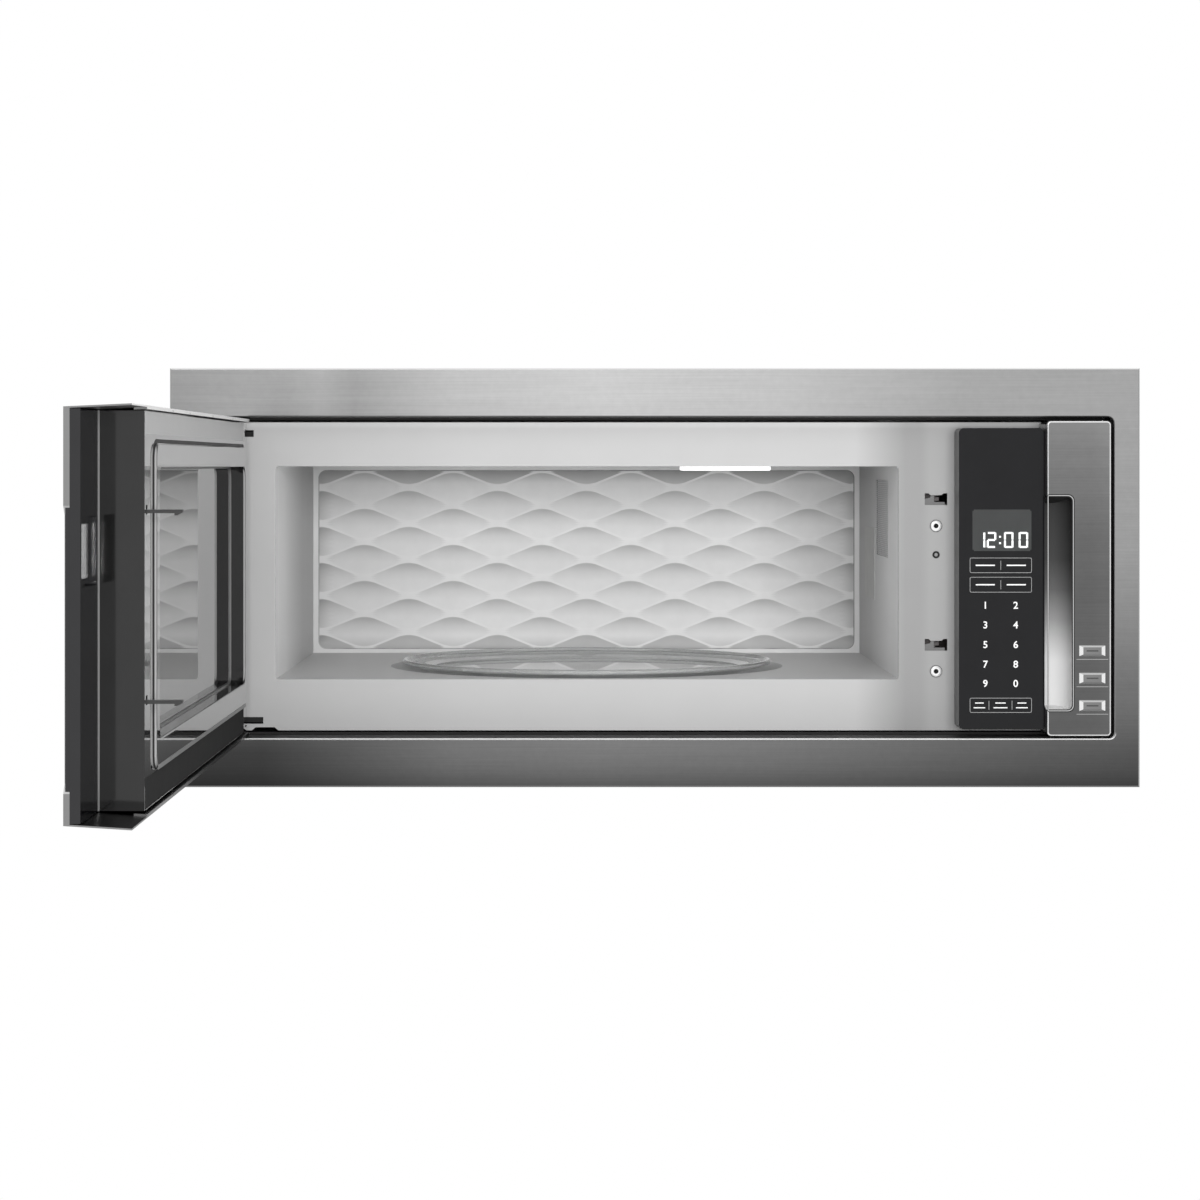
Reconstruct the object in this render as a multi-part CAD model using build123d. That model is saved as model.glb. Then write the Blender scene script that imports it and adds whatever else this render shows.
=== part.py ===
from build123d import *
import os
from math import cos, pi, sin

os.makedirs("parts", exist_ok=True)

# Built-in microwave with a wide trim, its door resting open at a right angle.
# Millimetres. X runs to the right, Y into the cabinet and Z up.
# The origin is on the cabinet's front, at the middle of the trim's width,
# at the height of the chassis bottom. All places follow from the sizes below.

# Trim, and the flange that fixes the oven to the cabinet
trim_width = 758.8
trim_height = 328.0
trim_drop = 39.0
trim_depth = 12.0
trim_sheet = 1.0
trim_lip = 6.0
trim_overlap = 23.4
trim_side_gap = 3.0
trim_hinge_gap = 5.0
trim_low_gap = 0.8
trim_high_gap = 0.7
trim_corner_r = 5.0
trim_edge_r = 1.5
flange_sheet = 1.5
flange_play = 0.5
flange_screw_r = 2.6
flange_screw_inset = 7.0
flange_screw_height = 105.0
bracket_length = 70.0
bracket_joggle = 30.0
bracket_margin = 25.0
clip_width = 24.0
clip_base = 6.0
collar_sheet = 1.5
collar_side_gap = 2.0
collar_hinge_gap = 5.0
collar_low_gap = 0.5
collar_high_gap = 0.3
collar_return = 0.7
collar_end = 1.7

# Chassis
sheet = 1.0
chassis_height = 250.0
chassis_length = 388.0
pan_lip = 15.0
vent_slot_length = 36.0
vent_slot_height = 3.0
vent_slot_pitch = 9.0
vent_slots = 9

# Front plate
plate_bottom = 2.5
plate_top = 247.2
mouth_corner_r = 2.0
plate_edge_r = 0.8
latch_inset = 14.5
latch_slot_width = 17.9
latch_slot_height = 9.3
latch_upper_z = 186.0
latch_lower_z = 70.4
latch_tab_width = 9.0
latch_tab_height = 1.4
hinge_slot_height = 5.3
hinge_slot_side = 8.0
foot_notch = (19.0, 22.0, 37.0, 40.0)
foot_notch_height = 2.5

# Cavity
cavity_side = 56.0
bay_width = 162.0
cavity_bottom = 43.2
cavity_height = 168.7
cavity_rear_space = 40.0
recess_gap = 4.0
recess_flare = 6.0
recess_depth = 17.8
coupler_hole_r = 9.0
back_thickness = 3.4
lattice_side_margin = 4.5
lattice_low_margin = 3.4
lattice_corner_r = 7.2
lattice_pitch_x = 80.4
lattice_pitch_z = 32.6
lattice_depth = 2.2
lattice_ridge = 0.92
lattice_floor = 0.25
side_vent_front = 83.0
side_vent_length = 105.0
side_vent_bottom = 94.0
side_vent_slots = 40
side_vent_slot = 0.8
side_vent_pitch = 1.6
vent_hood_depth = 9.0
vent_hood_margin = 3.0
lamp_offset = 116.0
lamp_width = 74.0
lamp_front = 120.0
lamp_length = 56.0
lamp_drop = 3.5

# Turntable
tray_wall_gap = 17.5
tray_rim_height = 11.2
tray_wall = 3.4
tray_slope = 24.0
tray_glass = 4.6
tray_above_floor = 6.0
roller_r = 5.9
roller_width = 8.0
roller_bore_r = 2.05
roller_play = 0.07
roller_track_r = 100.0
rollers = 3
roller_gap = 0.3
ring_width = 7.0
ring_height = 5.0
spin_play = 0.05
coupler_shaft_r = 3.5
coupler_hub_r = 8.0
coupler_arm = 22.0
motor_r = 24.5
motor_height = 17.0
motor_ear = 29.0

# Door
door_depth = 40.0
door_proud = 6.0
door_seal_gap = 2.0
door_hinge_gap = 4.0
door_column_gap = 2.0
door_low_front = 3.0
door_low_back = 0.5
door_high_front = 247.4
door_high_back = 249.2
door_front_r = 15.0
door_back_r = 17.0
hem = 2.2
hem_depth = 8.0
hem_gap = 2.0
hem_breaks = (1.0, 114.0, 241.0, 371.5, 458.5)
hem_past_end = 6.0
skin_return = 3.7
liner_play = 0.2
flap_thickness = 10.0
pivot_inset = 19.0
pivot_depth = 21.0
notch_depth = 5.0
notch_chamfer = 5.6
door_pane_left = 57.0
door_pane_right = 65.0
door_pane_bottom = 48.0
door_pane_height = 157.0
door_pane_r = 12.0
pane_overlap = 9.0
pane_glass = 3.0
lens_flange = 3.0
window_left = 27.0
window_right = 53.0
window_bottom = 43.5
window_height = 168.0
window_r = 9.0
window_depth = 12.0
rim_side = 12.0
rim_low = 19.0
rim_high = 15.4
rim_right = 14.0
rim_step = 2.2
rim_edge_r = 1.2
cover_wall = 2.0
choke_left = 12.0
choke_latch_gap = 1.5
choke_low = 6.5
choke_high = 243.5
screen_sheet = 0.8
pin_r = 3.0
pin_play = 0.05
pin_length = 15.0
bush_wall = 2.0
bush_flange = 1.5
bush_flange_r = 7.0
bush_gap = 0.3
block_height = 11.5
block_half_depth = 10.0
tongue_sheet = 3.0
tongue_reach = 9.0
tongue_neck = 6.0
tongue_upper_z = 238.1
tongue_lower_z = 10.4
relief_reach = 10.5
relief_margin = 1.5

# Latch
hook_width = 5.5
hook_offset = -0.5
hook_drop = 0.9
hook_thickness = 2.2
hook_reach = 20.0
nib_depth = 1.3
nib_length = 5.0
catch_play = 0.4
catch_gap = 0.3
lever_gap = 1.1
lever_rise = 2.9
lever_shoulder = 1.2
lever_neck = 3.0
lever_sheet = 2.0
latch_bar_depth = 6.0
latch_bar_end = 9.0
latch_travel = 2.0
latch_play = 0.3
spring_r = 2.6
spring_wire = 0.8
spring_length = 14.0
spring_seat = 3.0

# Control panel
bezel_width = 67.2
bezel_bottom = 5.8
bezel_height = 236.3
bezel_depth = 30.0
bezel_wall = 2.0
bezel_corner_r = 4.0
bezel_column_gap = 0.3
bezel_door_gap = 3.5
keypad_glass_thickness = 2.0
display_left = 10.7
display_width = 46.2
display_bottom = 145.7
display_height = 32.5
display_depth = 8.0
lens_recess = 3.4
lens_recess_side = 4.5
board_sheet = 1.6

# Stainless column with the finger pocket and three buttons
column_width = 50.0
column_bottom = 1.5
column_height = 246.0
column_corner_r = 3.2
column_edge_r = 1.6
pocket_width = 20.0
pocket_depth = 18.0
pocket_bottom = 21.7
pocket_height = 167.2
pocket_corner_r = 4.0
pocket_high_slope = 0.33
pocket_low_slope = 0.16
button_width = 20.3
button_height = 8.2
button_side = 4.6
button_low_z = 25.3
button_pitch = 21.4
button_proud = 0.8
button_play = 0.4
button_cap = 3.2
button_bevel_depth = 0.9
button_bevel_side = 3.0
button_bevel_low = 1.3
button_flange = 1.0
button_flange_side = 1.2
button_travel = 1.5
button_stem_r = 1.5
button_stem = 5.0
switch_size = 6.0
switch_height = 3.5

# Power parts in the bay to the right of the cavity
guide_back = 64.0
guide_length = 80.0
guide_bottom = 59.8
guide_height = 51.0
guide_width = 94.0
mica_overlap = 5.0
mica_sheet = 0.5
magnetron_width = 84.0
magnetron_height = 76.0
magnetron_length = 62.0
magnetron_can = 26.0
fin_gap = 6.0
transformer_width = 96.0
transformer_length = 84.0
transformer_height = 78.0
capacitor_length = 92.0
filter_bottom = 12.0
filter_width = 70.0
filter_height = 72.0
filter_post_inset = 4.0
blower_offset = 84.0
blower_r = 44.0
blower_length = 60.0
blower_play = 3.0
blower_wall = 2.0
blower_blades = 24
gland_r = 8.0
gland_bore_r = 4.5
gland_length = 16.0
screw_r = 2.0
screw_head_r = 4.0
screw_head = 1.6

# Places that follow from the sizes
trim_x = trim_width / 2
trim_front = -trim_depth
trim_bottom = -trim_drop
trim_top = trim_bottom + trim_height
chassis_x = trim_x - trim_overlap
opening_right = chassis_x + trim_side_gap
opening_left = -chassis_x - trim_hinge_gap
opening_bottom = -trim_low_gap
opening_top = chassis_height + trim_high_gap
door_front = trim_front - door_proud
door_back = door_front + door_depth
plate_front = door_back + door_seal_gap
plate_back = plate_front + sheet
chassis_back = plate_front + chassis_length
column_right = chassis_x
column_left = column_right - column_width
door_left = opening_left + door_hinge_gap
door_right = column_left - door_column_gap
bezel_right = column_left - bezel_column_gap
bezel_left = bezel_right - bezel_width
bezel_front = plate_front - bezel_depth
latch_x = bezel_left - latch_inset
bezel_top = bezel_bottom + bezel_height
thick_right = bezel_left - bezel_door_gap
flap_back = door_front + flap_thickness
pivot_x = door_left + pivot_inset
pivot_y = door_front + pivot_depth
cavity_left = cavity_side - chassis_x
cavity_right = chassis_x - bay_width
cavity_width = cavity_right - cavity_left
cavity_top = cavity_bottom + cavity_height
cavity_back_y = chassis_back - cavity_rear_space
cavity_depth = cavity_back_y - plate_back
cavity_x = (cavity_left + cavity_right) / 2
recess_floor = cavity_bottom - recess_depth
table_y = plate_back + cavity_depth / 2
tray_top = cavity_bottom + tray_above_floor
tray_bottom = tray_top - tray_rim_height
tray_r = cavity_depth / 2 - tray_wall_gap
tray_flat_r = tray_r - tray_slope
recess_r = tray_r + recess_gap
recess_rim_r = recess_r + recess_flare
roller_z = recess_floor + roller_gap + roller_r
bay_left = cavity_right + sheet
latch_heights = (latch_upper_z, latch_lower_z)
button_x = column_right - button_side - button_width / 2
button_heights = [button_low_z + button_pitch * k for k in (2, 1, 0)]
pocket_top = pocket_bottom + pocket_height
guide_rear = cavity_back_y - guide_back
guide_front = guide_rear - guide_length
guide_low = cavity_bottom + guide_bottom
guide_top = guide_low + guide_height


def block(x0, x1, y0, y1, z0, z1):
    """A box between two corners."""
    centre = Pos((x0 + x1) / 2, (y0 + y1) / 2, (z0 + z1) / 2)
    return centre * Box(x1 - x0, y1 - y0, z1 - z0)


def rod_x(y, z, x0, x1, r):
    """A round rod along X."""
    return Pos((x0 + x1) / 2, y, z) * Rot(0, 90, 0) * Cylinder(r, x1 - x0)


def rod_y(x, z, y0, y1, r):
    """A round rod along Y."""
    return Pos(x, (y0 + y1) / 2, z) * Rot(90, 0, 0) * Cylinder(r, y1 - y0)


def rod_z(x, y, z0, z1, r):
    """A round rod along Z."""
    return Pos(x, y, (z0 + z1) / 2) * Cylinder(r, z1 - z0)


def panel_y(x0, x1, y0, y1, z0, z1, r):
    """A plate that faces Y, with rounded corners."""
    face = RectangleRounded(x1 - x0, z1 - z0, r)
    return Pos((x0 + x1) / 2, y1, (z0 + z1) / 2) * Rot(90, 0, 0) * extrude(face, y1 - y0)


def plan(points, z0, z1):
    """A prism whose outline is drawn in X and Y."""
    face = make_face(Polyline(*points, close=True))
    return Pos(0, 0, z0) * extrude(face, z1 - z0)


def front_prism(points, y0, y1):
    """A prism whose outline is drawn in X and Z."""
    face = make_face(Polyline(*points, close=True))
    return Pos(0, y1, 0) * Rot(90, 0, 0) * extrude(face, y1 - y0)


def side_prism(points, x0, x1):
    """A prism whose outline is drawn in Y and Z."""
    face = make_face(Polyline(*points, close=True))
    return Pos(x0, 0, 0) * Rot(0, 0, 90) * Rot(90, 0, 0) * extrude(face, x1 - x0)


def turned(points, x, y):
    """A body of revolution about a vertical axis, drawn in radius and height."""
    face = make_face(Polyline(*points, close=True))
    return Pos(x, y, 0) * revolve(Plane.XZ * face, Axis.Z)


def group(pieces):
    """Separate solids that share one node."""
    solids = []
    for piece in pieces:
        solids.extend(piece.solids())
    return Compound(solids)


# Trim and fixing flange


def trim_frame():
    """The formed steel frame that covers the cabinet's cut-out."""
    front = block(-trim_x, trim_x, trim_front, trim_front + trim_sheet, trim_bottom, trim_top)
    shell = block(-trim_x, trim_x, trim_front, 0, trim_bottom, trim_top)
    inner_x = trim_x - trim_sheet
    shell -= block(
        -inner_x, inner_x, trim_front, 0, trim_bottom + trim_sheet, trim_top - trim_sheet
    )
    lip = panel_y(
        opening_left - trim_sheet,
        opening_right + trim_sheet,
        trim_front,
        trim_front + trim_lip,
        opening_bottom - trim_sheet,
        opening_top + trim_sheet,
        trim_corner_r + trim_sheet,
    )
    hole = panel_y(
        opening_left, opening_right, trim_front - 1, 1, opening_bottom, opening_top, trim_corner_r
    )
    frame = front + shell + lip - hole
    return fillet(frame.faces().sort_by(Axis.Y)[0].edges(), trim_edge_r)


flange_x = trim_x - trim_sheet - flange_play
flange_bottom = trim_bottom + trim_sheet + flange_play
flange_top = trim_top - trim_sheet - flange_play
collar_left = -chassis_x - collar_hinge_gap
collar_right = chassis_x + collar_side_gap
collar_bottom = -collar_low_gap
collar_top = chassis_height + collar_high_gap
flange_screw_x = flange_x - flange_screw_inset
bracket_screw_y = plate_front + (bracket_length - plate_front) * 0.8
bracket_screw_heights = (bracket_margin + 20, chassis_height - bracket_margin - 20)


def collar_ring(wall, y0, y1):
    """A rectangular ring around the chassis, wall thick outwards or inwards."""
    grown = block(
        collar_left - wall,
        collar_right + wall,
        y0,
        y1,
        collar_bottom - wall,
        collar_top + wall,
    )
    plain = block(collar_left, collar_right, y0, y1, collar_bottom, collar_top)
    return grown - plain if wall > 0 else plain - grown


def mounting_frame():
    """The flange behind the trim, its collar and a bracket down each side."""
    plate = block(-flange_x, flange_x, -flange_sheet, 0, flange_bottom, flange_top)
    plate -= block(collar_left, collar_right, -flange_sheet, 0, collar_bottom, collar_top)
    plate += collar_ring(collar_sheet, -flange_sheet, plate_front)
    plate += collar_ring(-collar_end, plate_front - collar_return, plate_front)
    middle = chassis_height / 2
    for side, hole_x in ((-1, -collar_left), (1, collar_right)):
        for up in (-1, 1):
            z = middle + up * flange_screw_height
            plate -= rod_y(side * flange_screw_x, z, -flange_sheet, 0, flange_screw_r)
        step = bracket_joggle + hole_x - chassis_x + 1
        outer = chassis_x + flange_sheet
        bracket = plan(
            [
                (side * hole_x, -flange_sheet),
                (side * hole_x, bracket_joggle),
                (side * chassis_x, step),
                (side * chassis_x, bracket_length),
                (side * outer, bracket_length),
                (side * outer, step + 0.6),
                (side * (hole_x + flange_sheet), bracket_joggle + 0.6),
                (side * (hole_x + flange_sheet), -flange_sheet),
            ],
            bracket_margin,
            chassis_height - bracket_margin,
        )
        for z in bracket_screw_heights:
            ends = sorted((side * chassis_x, side * (chassis_x + flange_sheet)))
            bracket -= rod_x(bracket_screw_y, z, ends[0], ends[1], screw_r)
        plate += bracket
    return plate


def trim_clips():
    """Sheet clips on the flange that the trim snaps over."""
    low = (flange_bottom + opening_bottom) / 2
    high = (flange_top + opening_top) / 2
    places = [(x, z) for x in (-trim_x * 0.6, trim_x * 0.6) for z in (low, high)]
    back = -flange_sheet
    front = trim_front + trim_sheet
    clips = []
    for x, z in places:
        left = x - clip_width / 2
        right = x + clip_width / 2
        half = clip_base
        profile = [
            (back, z - half),
            (back, z + half),
            (back - trim_sheet, z + half),
            (back - trim_sheet, z + trim_sheet),
            (front, z + trim_sheet),
            (front, z - trim_sheet),
            (back - trim_sheet, z - trim_sheet),
            (back - trim_sheet, z - half),
        ]
        clips.append(side_prism(profile, left, right))
    return group(clips)


# Chassis


def vent_rows(x0, y0, z0, rows, columns, depth):
    """Vent slots through a sheet that faces Y."""
    slots = []
    for row in range(rows):
        for column in range(columns):
            left = x0 + column * vent_slot_length * 1.25
            low = z0 + row * vent_slot_pitch
            slots.append(
                block(left, left + vent_slot_length, y0, y0 + depth, low, low + vent_slot_height)
            )
    return slots


def base_pan():
    """The flat bottom sheet with lips turned up at its sides and front."""
    x = chassis_x - sheet
    rear = chassis_back - sheet
    pan = block(-x, x, plate_back, rear, 0, sheet)
    for side in (-1, 1):
        ends = sorted((side * x, side * (x - sheet)))
        pan += block(ends[0], ends[1], plate_back, rear, 0, pan_lip)
    return pan


def wrap_cover():
    """The U-shaped cover: top and both sides, with vents at the power bay."""
    rear = chassis_back - sheet
    cover = block(-chassis_x, chassis_x, plate_front, rear, 0, chassis_height)
    x = chassis_x - sheet
    cover -= block(-x, x, plate_front, rear, 0, chassis_height - sheet)
    slots = []
    for row in range(vent_slots):
        low = chassis_height * 0.25 + row * vent_slot_pitch
        for start in (0.60, 0.74):
            front = plate_front + chassis_length * start
            slots.append(
                block(x, chassis_x, front, front + vent_slot_length, low, low + vent_slot_height)
            )
    for side in (-1, 1):
        for z in bracket_screw_heights:
            ends = sorted((side * x, side * chassis_x))
            slots.append(rod_x(bracket_screw_y, z, ends[0], ends[1], screw_r))
    return cover - slots


gland_x = chassis_x - 56.0
gland_z = 60.0
cover_screw_places = [
    (side * (chassis_x - 12), z) for side in (-1, 1) for z in (30.0, chassis_height - 12)
]


def rear_panel():
    """The back sheet with two vent fields and the cord hole."""
    front = chassis_back - sheet
    panel = block(-chassis_x, chassis_x, front, chassis_back, 0, chassis_height)
    cuts = vent_rows(bay_left + 22, front, chassis_height * 0.5, vent_slots, 2, sheet)
    cuts += vent_rows(cavity_left, front, chassis_height * 0.5, vent_slots, 2, sheet)
    cuts.append(rod_y(gland_x, gland_z, front, chassis_back, gland_r))
    cuts += [rod_y(x, z, front, chassis_back, screw_r) for x, z in cover_screw_places]
    return panel - cuts


def power_gland():
    """The bush that the supply cord comes out through, left open."""
    body = rod_y(gland_x, gland_z, chassis_back - gland_length + 4, chassis_back + 4, gland_r)
    body += rod_y(gland_x, gland_z, chassis_back, chassis_back + 4, gland_r + 3)
    return body - rod_y(gland_x, gland_z, chassis_back - gland_length, chassis_back + 5, gland_bore_r)


front_screw_heights = (164.8, 141.9, 49.4)
front_screw_heads = (4.2, 3.0, 4.2)


def front_plate():
    """The plate behind the door: cavity mouth, latch slots and hinge slots."""
    x = chassis_x - sheet
    plate = block(-x, x, plate_front, plate_back, plate_bottom, plate_top)
    plate -= panel_y(
        cavity_left,
        cavity_right,
        plate_front,
        plate_back,
        cavity_bottom,
        cavity_top,
        mouth_corner_r,
    )
    face = plate.faces().sort_by(Axis.Y)[0]
    top = face.edges().sort_by(Axis.Z)[-1]
    plate = fillet(face.inner_wires()[0].edges() + [top], plate_edge_r)
    cuts = []
    for z in latch_heights:
        cuts.append(latch_slot(z))
    for z, right in ((tongue_upper_z, 20.4), (tongue_lower_z, 28.0)):
        half = hinge_slot_height / 2
        left = pivot_x - tongue_neck - hinge_slot_side
        cuts.append(block(left, pivot_x + right, plate_front, plate_back, z - half, z + half))
    cuts += [rod_y(latch_x, z, plate_front, plate_back, screw_r) for z in front_screw_heights]
    hump_top = plate_bottom + foot_notch_height
    hump_heights = (plate_bottom, hump_top, hump_top, plate_bottom)
    outline = [(pivot_x + a, z) for a, z in zip(foot_notch, hump_heights)]
    cuts.append(front_prism(outline, plate_front, plate_back))
    return plate - cuts


def latch_slot(z):
    """A latch slot, with a small tab that hangs from its upper edge."""
    half_x = latch_slot_width / 2
    half_z = latch_slot_height / 2
    tab_x = latch_tab_width / 2
    top = z + half_z
    return front_prism(
        [
            (latch_x - half_x, z - half_z),
            (latch_x + half_x, z - half_z),
            (latch_x + half_x, top),
            (latch_x + tab_x + latch_tab_height, top),
            (latch_x + tab_x, top - latch_tab_height),
            (latch_x - tab_x, top - latch_tab_height),
            (latch_x - tab_x - latch_tab_height, top),
            (latch_x - half_x, top),
        ],
        plate_front,
        plate_back,
    )


def screw_y(x, z, head_back, length, head_r):
    """A pan-head screw driven along Y, with its head in front."""
    head = rod_y(x, z, head_back - screw_head, head_back, head_r)
    socket = rod_y(x, z, head_back - screw_head, head_back - screw_head / 2, screw_r * 0.6)
    return head + rod_y(x, z, head_back, head_back + length, screw_r) - socket


def front_screws():
    """The three screws that hold the switch bracket behind the front plate."""
    length = sheet + bracket_wall
    places = zip(front_screw_heights, front_screw_heads)
    return group([screw_y(latch_x, z, plate_front, length, r) for z, r in places])


def cover_screws():
    """The rear screws, with their heads behind the back sheet."""
    screws = []
    for x, z in cover_screw_places:
        head = rod_y(x, z, chassis_back, chassis_back + screw_head, screw_head_r)
        screws.append(head + rod_y(x, z, chassis_back - sheet, chassis_back, screw_r))
    return group(screws)


def bracket_screws():
    """The side screws from the fixing brackets into the chassis."""
    screws = []
    for side in (-1, 1):
        inner = side * (chassis_x - sheet)
        seat = side * (chassis_x + flange_sheet)
        outer = side * (chassis_x + flange_sheet + screw_head)
        for z in bracket_screw_heights:
            ends = sorted((seat, outer))
            screw = rod_x(bracket_screw_y, z, ends[0], ends[1], screw_head_r)
            ends = sorted((inner, seat))
            screws.append(screw + rod_x(bracket_screw_y, z, ends[0], ends[1], screw_r))
    return group(screws)


# Cavity

lamp_left = cavity_x + lamp_offset - lamp_width / 2
lamp_right = lamp_left + lamp_width
lamp_near = plate_back + lamp_front
lamp_far = lamp_near + lamp_length
side_vent_y = plate_back + side_vent_front
side_vent_z = cavity_bottom + side_vent_bottom


def cavity_floor():
    """The floor, with the turntable's round recess pressed into it."""
    plate = block(
        cavity_left - sheet,
        cavity_right + sheet,
        plate_back,
        cavity_back_y,
        cavity_bottom - sheet,
        cavity_bottom,
    )
    dish = turned(
        [
            (0, recess_floor - sheet),
            (recess_r + sheet / 2, recess_floor - sheet),
            (recess_rim_r + sheet, cavity_bottom - sheet / 2),
            (0, cavity_bottom - sheet / 2),
        ],
        cavity_x,
        table_y,
    )
    bowl = turned(
        [
            (0, recess_floor),
            (recess_r, recess_floor),
            (recess_rim_r, cavity_bottom),
            (recess_rim_r, cavity_bottom + sheet),
            (0, cavity_bottom + sheet),
        ],
        cavity_x,
        table_y,
    )
    hole = rod_z(cavity_x, table_y, recess_floor - sheet, recess_floor, coupler_hole_r)
    return plate + dish - bowl - hole


def cavity_liner():
    """The bent sheet that makes both side walls and the ceiling."""
    liner = block(
        cavity_left - sheet,
        cavity_right + sheet,
        plate_back,
        cavity_back_y,
        cavity_bottom,
        cavity_top + sheet,
    )
    liner -= block(
        cavity_left, cavity_right, plate_back, cavity_back_y, cavity_bottom, cavity_top
    )
    cuts = [block(lamp_left, lamp_right, lamp_near, lamp_far, cavity_top, cavity_top + sheet)]
    cuts.append(
        block(cavity_right, cavity_right + sheet, guide_front, guide_rear, guide_low, guide_top)
    )
    for row in range(side_vent_slots):
        low = side_vent_z + row * side_vent_pitch
        cuts.append(
            block(
                cavity_right,
                cavity_right + sheet,
                side_vent_y,
                side_vent_y + side_vent_length,
                low,
                low + side_vent_slot,
            )
        )
    return liner - cuts


def lattice_cell(x, z):
    """A shallow four-sided dish, widest at the sheet's front face."""
    half_x = lattice_pitch_x / 2 * lattice_ridge
    half_z = lattice_pitch_z / 2 * lattice_ridge
    mouth = [(half_x, 0), (0, half_z), (-half_x, 0), (0, -half_z)]
    bottom = [(a * lattice_floor, b * lattice_floor) for a, b in mouth]
    rings = []
    for points, depth in ((mouth, 0), (bottom, lattice_depth)):
        rings.append(
            Wire.make_polygon(
                [Vector(x + a, cavity_back_y + depth, z + b) for a, b in points], close=True
            )
        )
    return Solid.make_loft(rings, ruled=True)


def cavity_back():
    """The cavity's back wall, embossed with a lattice of shallow diamonds."""
    left = cavity_left - sheet
    right = cavity_right + sheet
    low = cavity_bottom - sheet
    high = cavity_top + sheet
    wall = block(left, right, cavity_back_y, cavity_back_y + back_thickness, low, high)
    field_x = cavity_width / 2 - lattice_side_margin
    field_z = cavity_height / 2 - lattice_low_margin
    middle_z = (cavity_bottom + cavity_top) / 2
    field = panel_y(
        cavity_x - field_x,
        cavity_x + field_x,
        cavity_back_y,
        cavity_back_y + lattice_depth,
        middle_z - field_z,
        middle_z + field_z,
        lattice_corner_r,
    )
    columns = int(field_x / lattice_pitch_x) + 1
    rows = int(field_z / lattice_pitch_z) + 1
    places = []
    for i in range(-2 * columns, 2 * columns + 1):
        for j in range(-2 * rows, 2 * rows + 1):
            x = i * lattice_pitch_x / 2
            z = j * lattice_pitch_z / 2
            inside = abs(x) < field_x and abs(z) < field_z + lattice_pitch_z * 0.2
            if (i + j) % 2 and inside:
                places.append((x, z))
    cells = [lattice_cell(cavity_x + x, middle_z + z) for x, z in places]
    return wall - [field & cell for cell in cells]


def lamp_lens():
    """The clear strip that drops a little below the ceiling."""
    top = cavity_top + sheet
    lens = block(lamp_left, lamp_right, lamp_near, lamp_far, cavity_top - lamp_drop, top)
    lens = fillet(lens.edges().group_by(Axis.Z)[0], 1.2)
    rim = block(lamp_left - 4, lamp_right + 4, lamp_near - 4, lamp_far + 4, top, top + sheet)
    return lens + rim


def lamp_holder():
    """The lamp's reflector box on top of the lens, with its light board."""
    low = cavity_top + 2 * sheet
    box = block(lamp_left - 4, lamp_right + 4, lamp_near - 4, lamp_far + 4, low, low + 18)
    box -= block(lamp_left, lamp_right, lamp_near, lamp_far, low, low + 16)
    box += block(lamp_left, lamp_right, lamp_near + 8, lamp_far - 8, low + 14.4, low + 16)
    for k in range(4):
        x = lamp_left + (k + 0.5) * lamp_width / 4
        y = (lamp_near + lamp_far) / 2
        box += block(x - 2.5, x + 2.5, y - 2.5, y + 2.5, low + 12.8, low + 14.4)
    return box


def waveguide_cover():
    """The thin insulating sheet over the waveguide's mouth."""
    return block(
        cavity_right - mica_sheet,
        cavity_right,
        guide_front - mica_overlap,
        guide_rear + mica_overlap,
        guide_low - mica_overlap,
        guide_top + mica_overlap,
    )


# Turntable


def glass_tray():
    """The round glass tray with a raised rim and three drive lugs beneath."""
    tray = turned(
        [
            (0, tray_bottom),
            (tray_flat_r, tray_bottom),
            (tray_r - tray_wall, tray_top - tray_wall * 1.3),
            (tray_r, tray_top - tray_wall),
            (tray_r, tray_top - 1.2),
            (tray_r - 1.2, tray_top),
            (tray_r - tray_wall, tray_top),
            (tray_r - tray_wall - 2, tray_top - tray_wall),
            (tray_flat_r - 2, tray_bottom + tray_glass),
            (0, tray_bottom + tray_glass),
        ],
        cavity_x,
        table_y,
    )
    lugs = []
    for k in range(3):
        lug = block(-4, 4, coupler_arm - 9, coupler_arm - 3, tray_bottom - 2.5, tray_bottom)
        lugs.append(Pos(cavity_x, table_y, 0) * Rot(0, 0, 120 * k + 60) * lug)
    return tray + lugs


coupler_top = tray_bottom
coupler_low = recess_floor + 4.5
motor_top = recess_floor - sheet


def drive_coupler():
    """The three-armed driver under the tray, on the motor's shaft."""
    hub = rod_z(cavity_x, table_y, coupler_low, coupler_top, coupler_hub_r)
    for k in range(3):
        arm = block(-3, 3, 0, coupler_arm, coupler_top - 4.5, coupler_top)
        hub += Pos(cavity_x, table_y, 0) * Rot(0, 0, 120 * k) * arm
    shaft = rod_z(cavity_x, table_y, motor_top - motor_height / 2, coupler_low, coupler_shaft_r)
    return hub + shaft


def turntable_motor():
    """The flat geared motor beneath the recess, with two fixing ears."""
    low = motor_top - motor_height
    body = rod_z(cavity_x, table_y, low, motor_top, motor_r)
    ears = block(
        cavity_x - motor_ear, cavity_x + motor_ear, table_y - 5, table_y + 5, motor_top - 1, motor_top
    )
    bore = rod_z(
        cavity_x,
        table_y,
        motor_top - motor_height / 2 - 1,
        motor_top + 3,
        coupler_shaft_r + spin_play,
    )
    collar = rod_z(cavity_x, table_y, motor_top, motor_top + 3, coupler_shaft_r + 2)
    return body + ears + collar - bore


ring_r = roller_track_r - roller_width / 2 - 1
axle_r = roller_bore_r - roller_play


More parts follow.
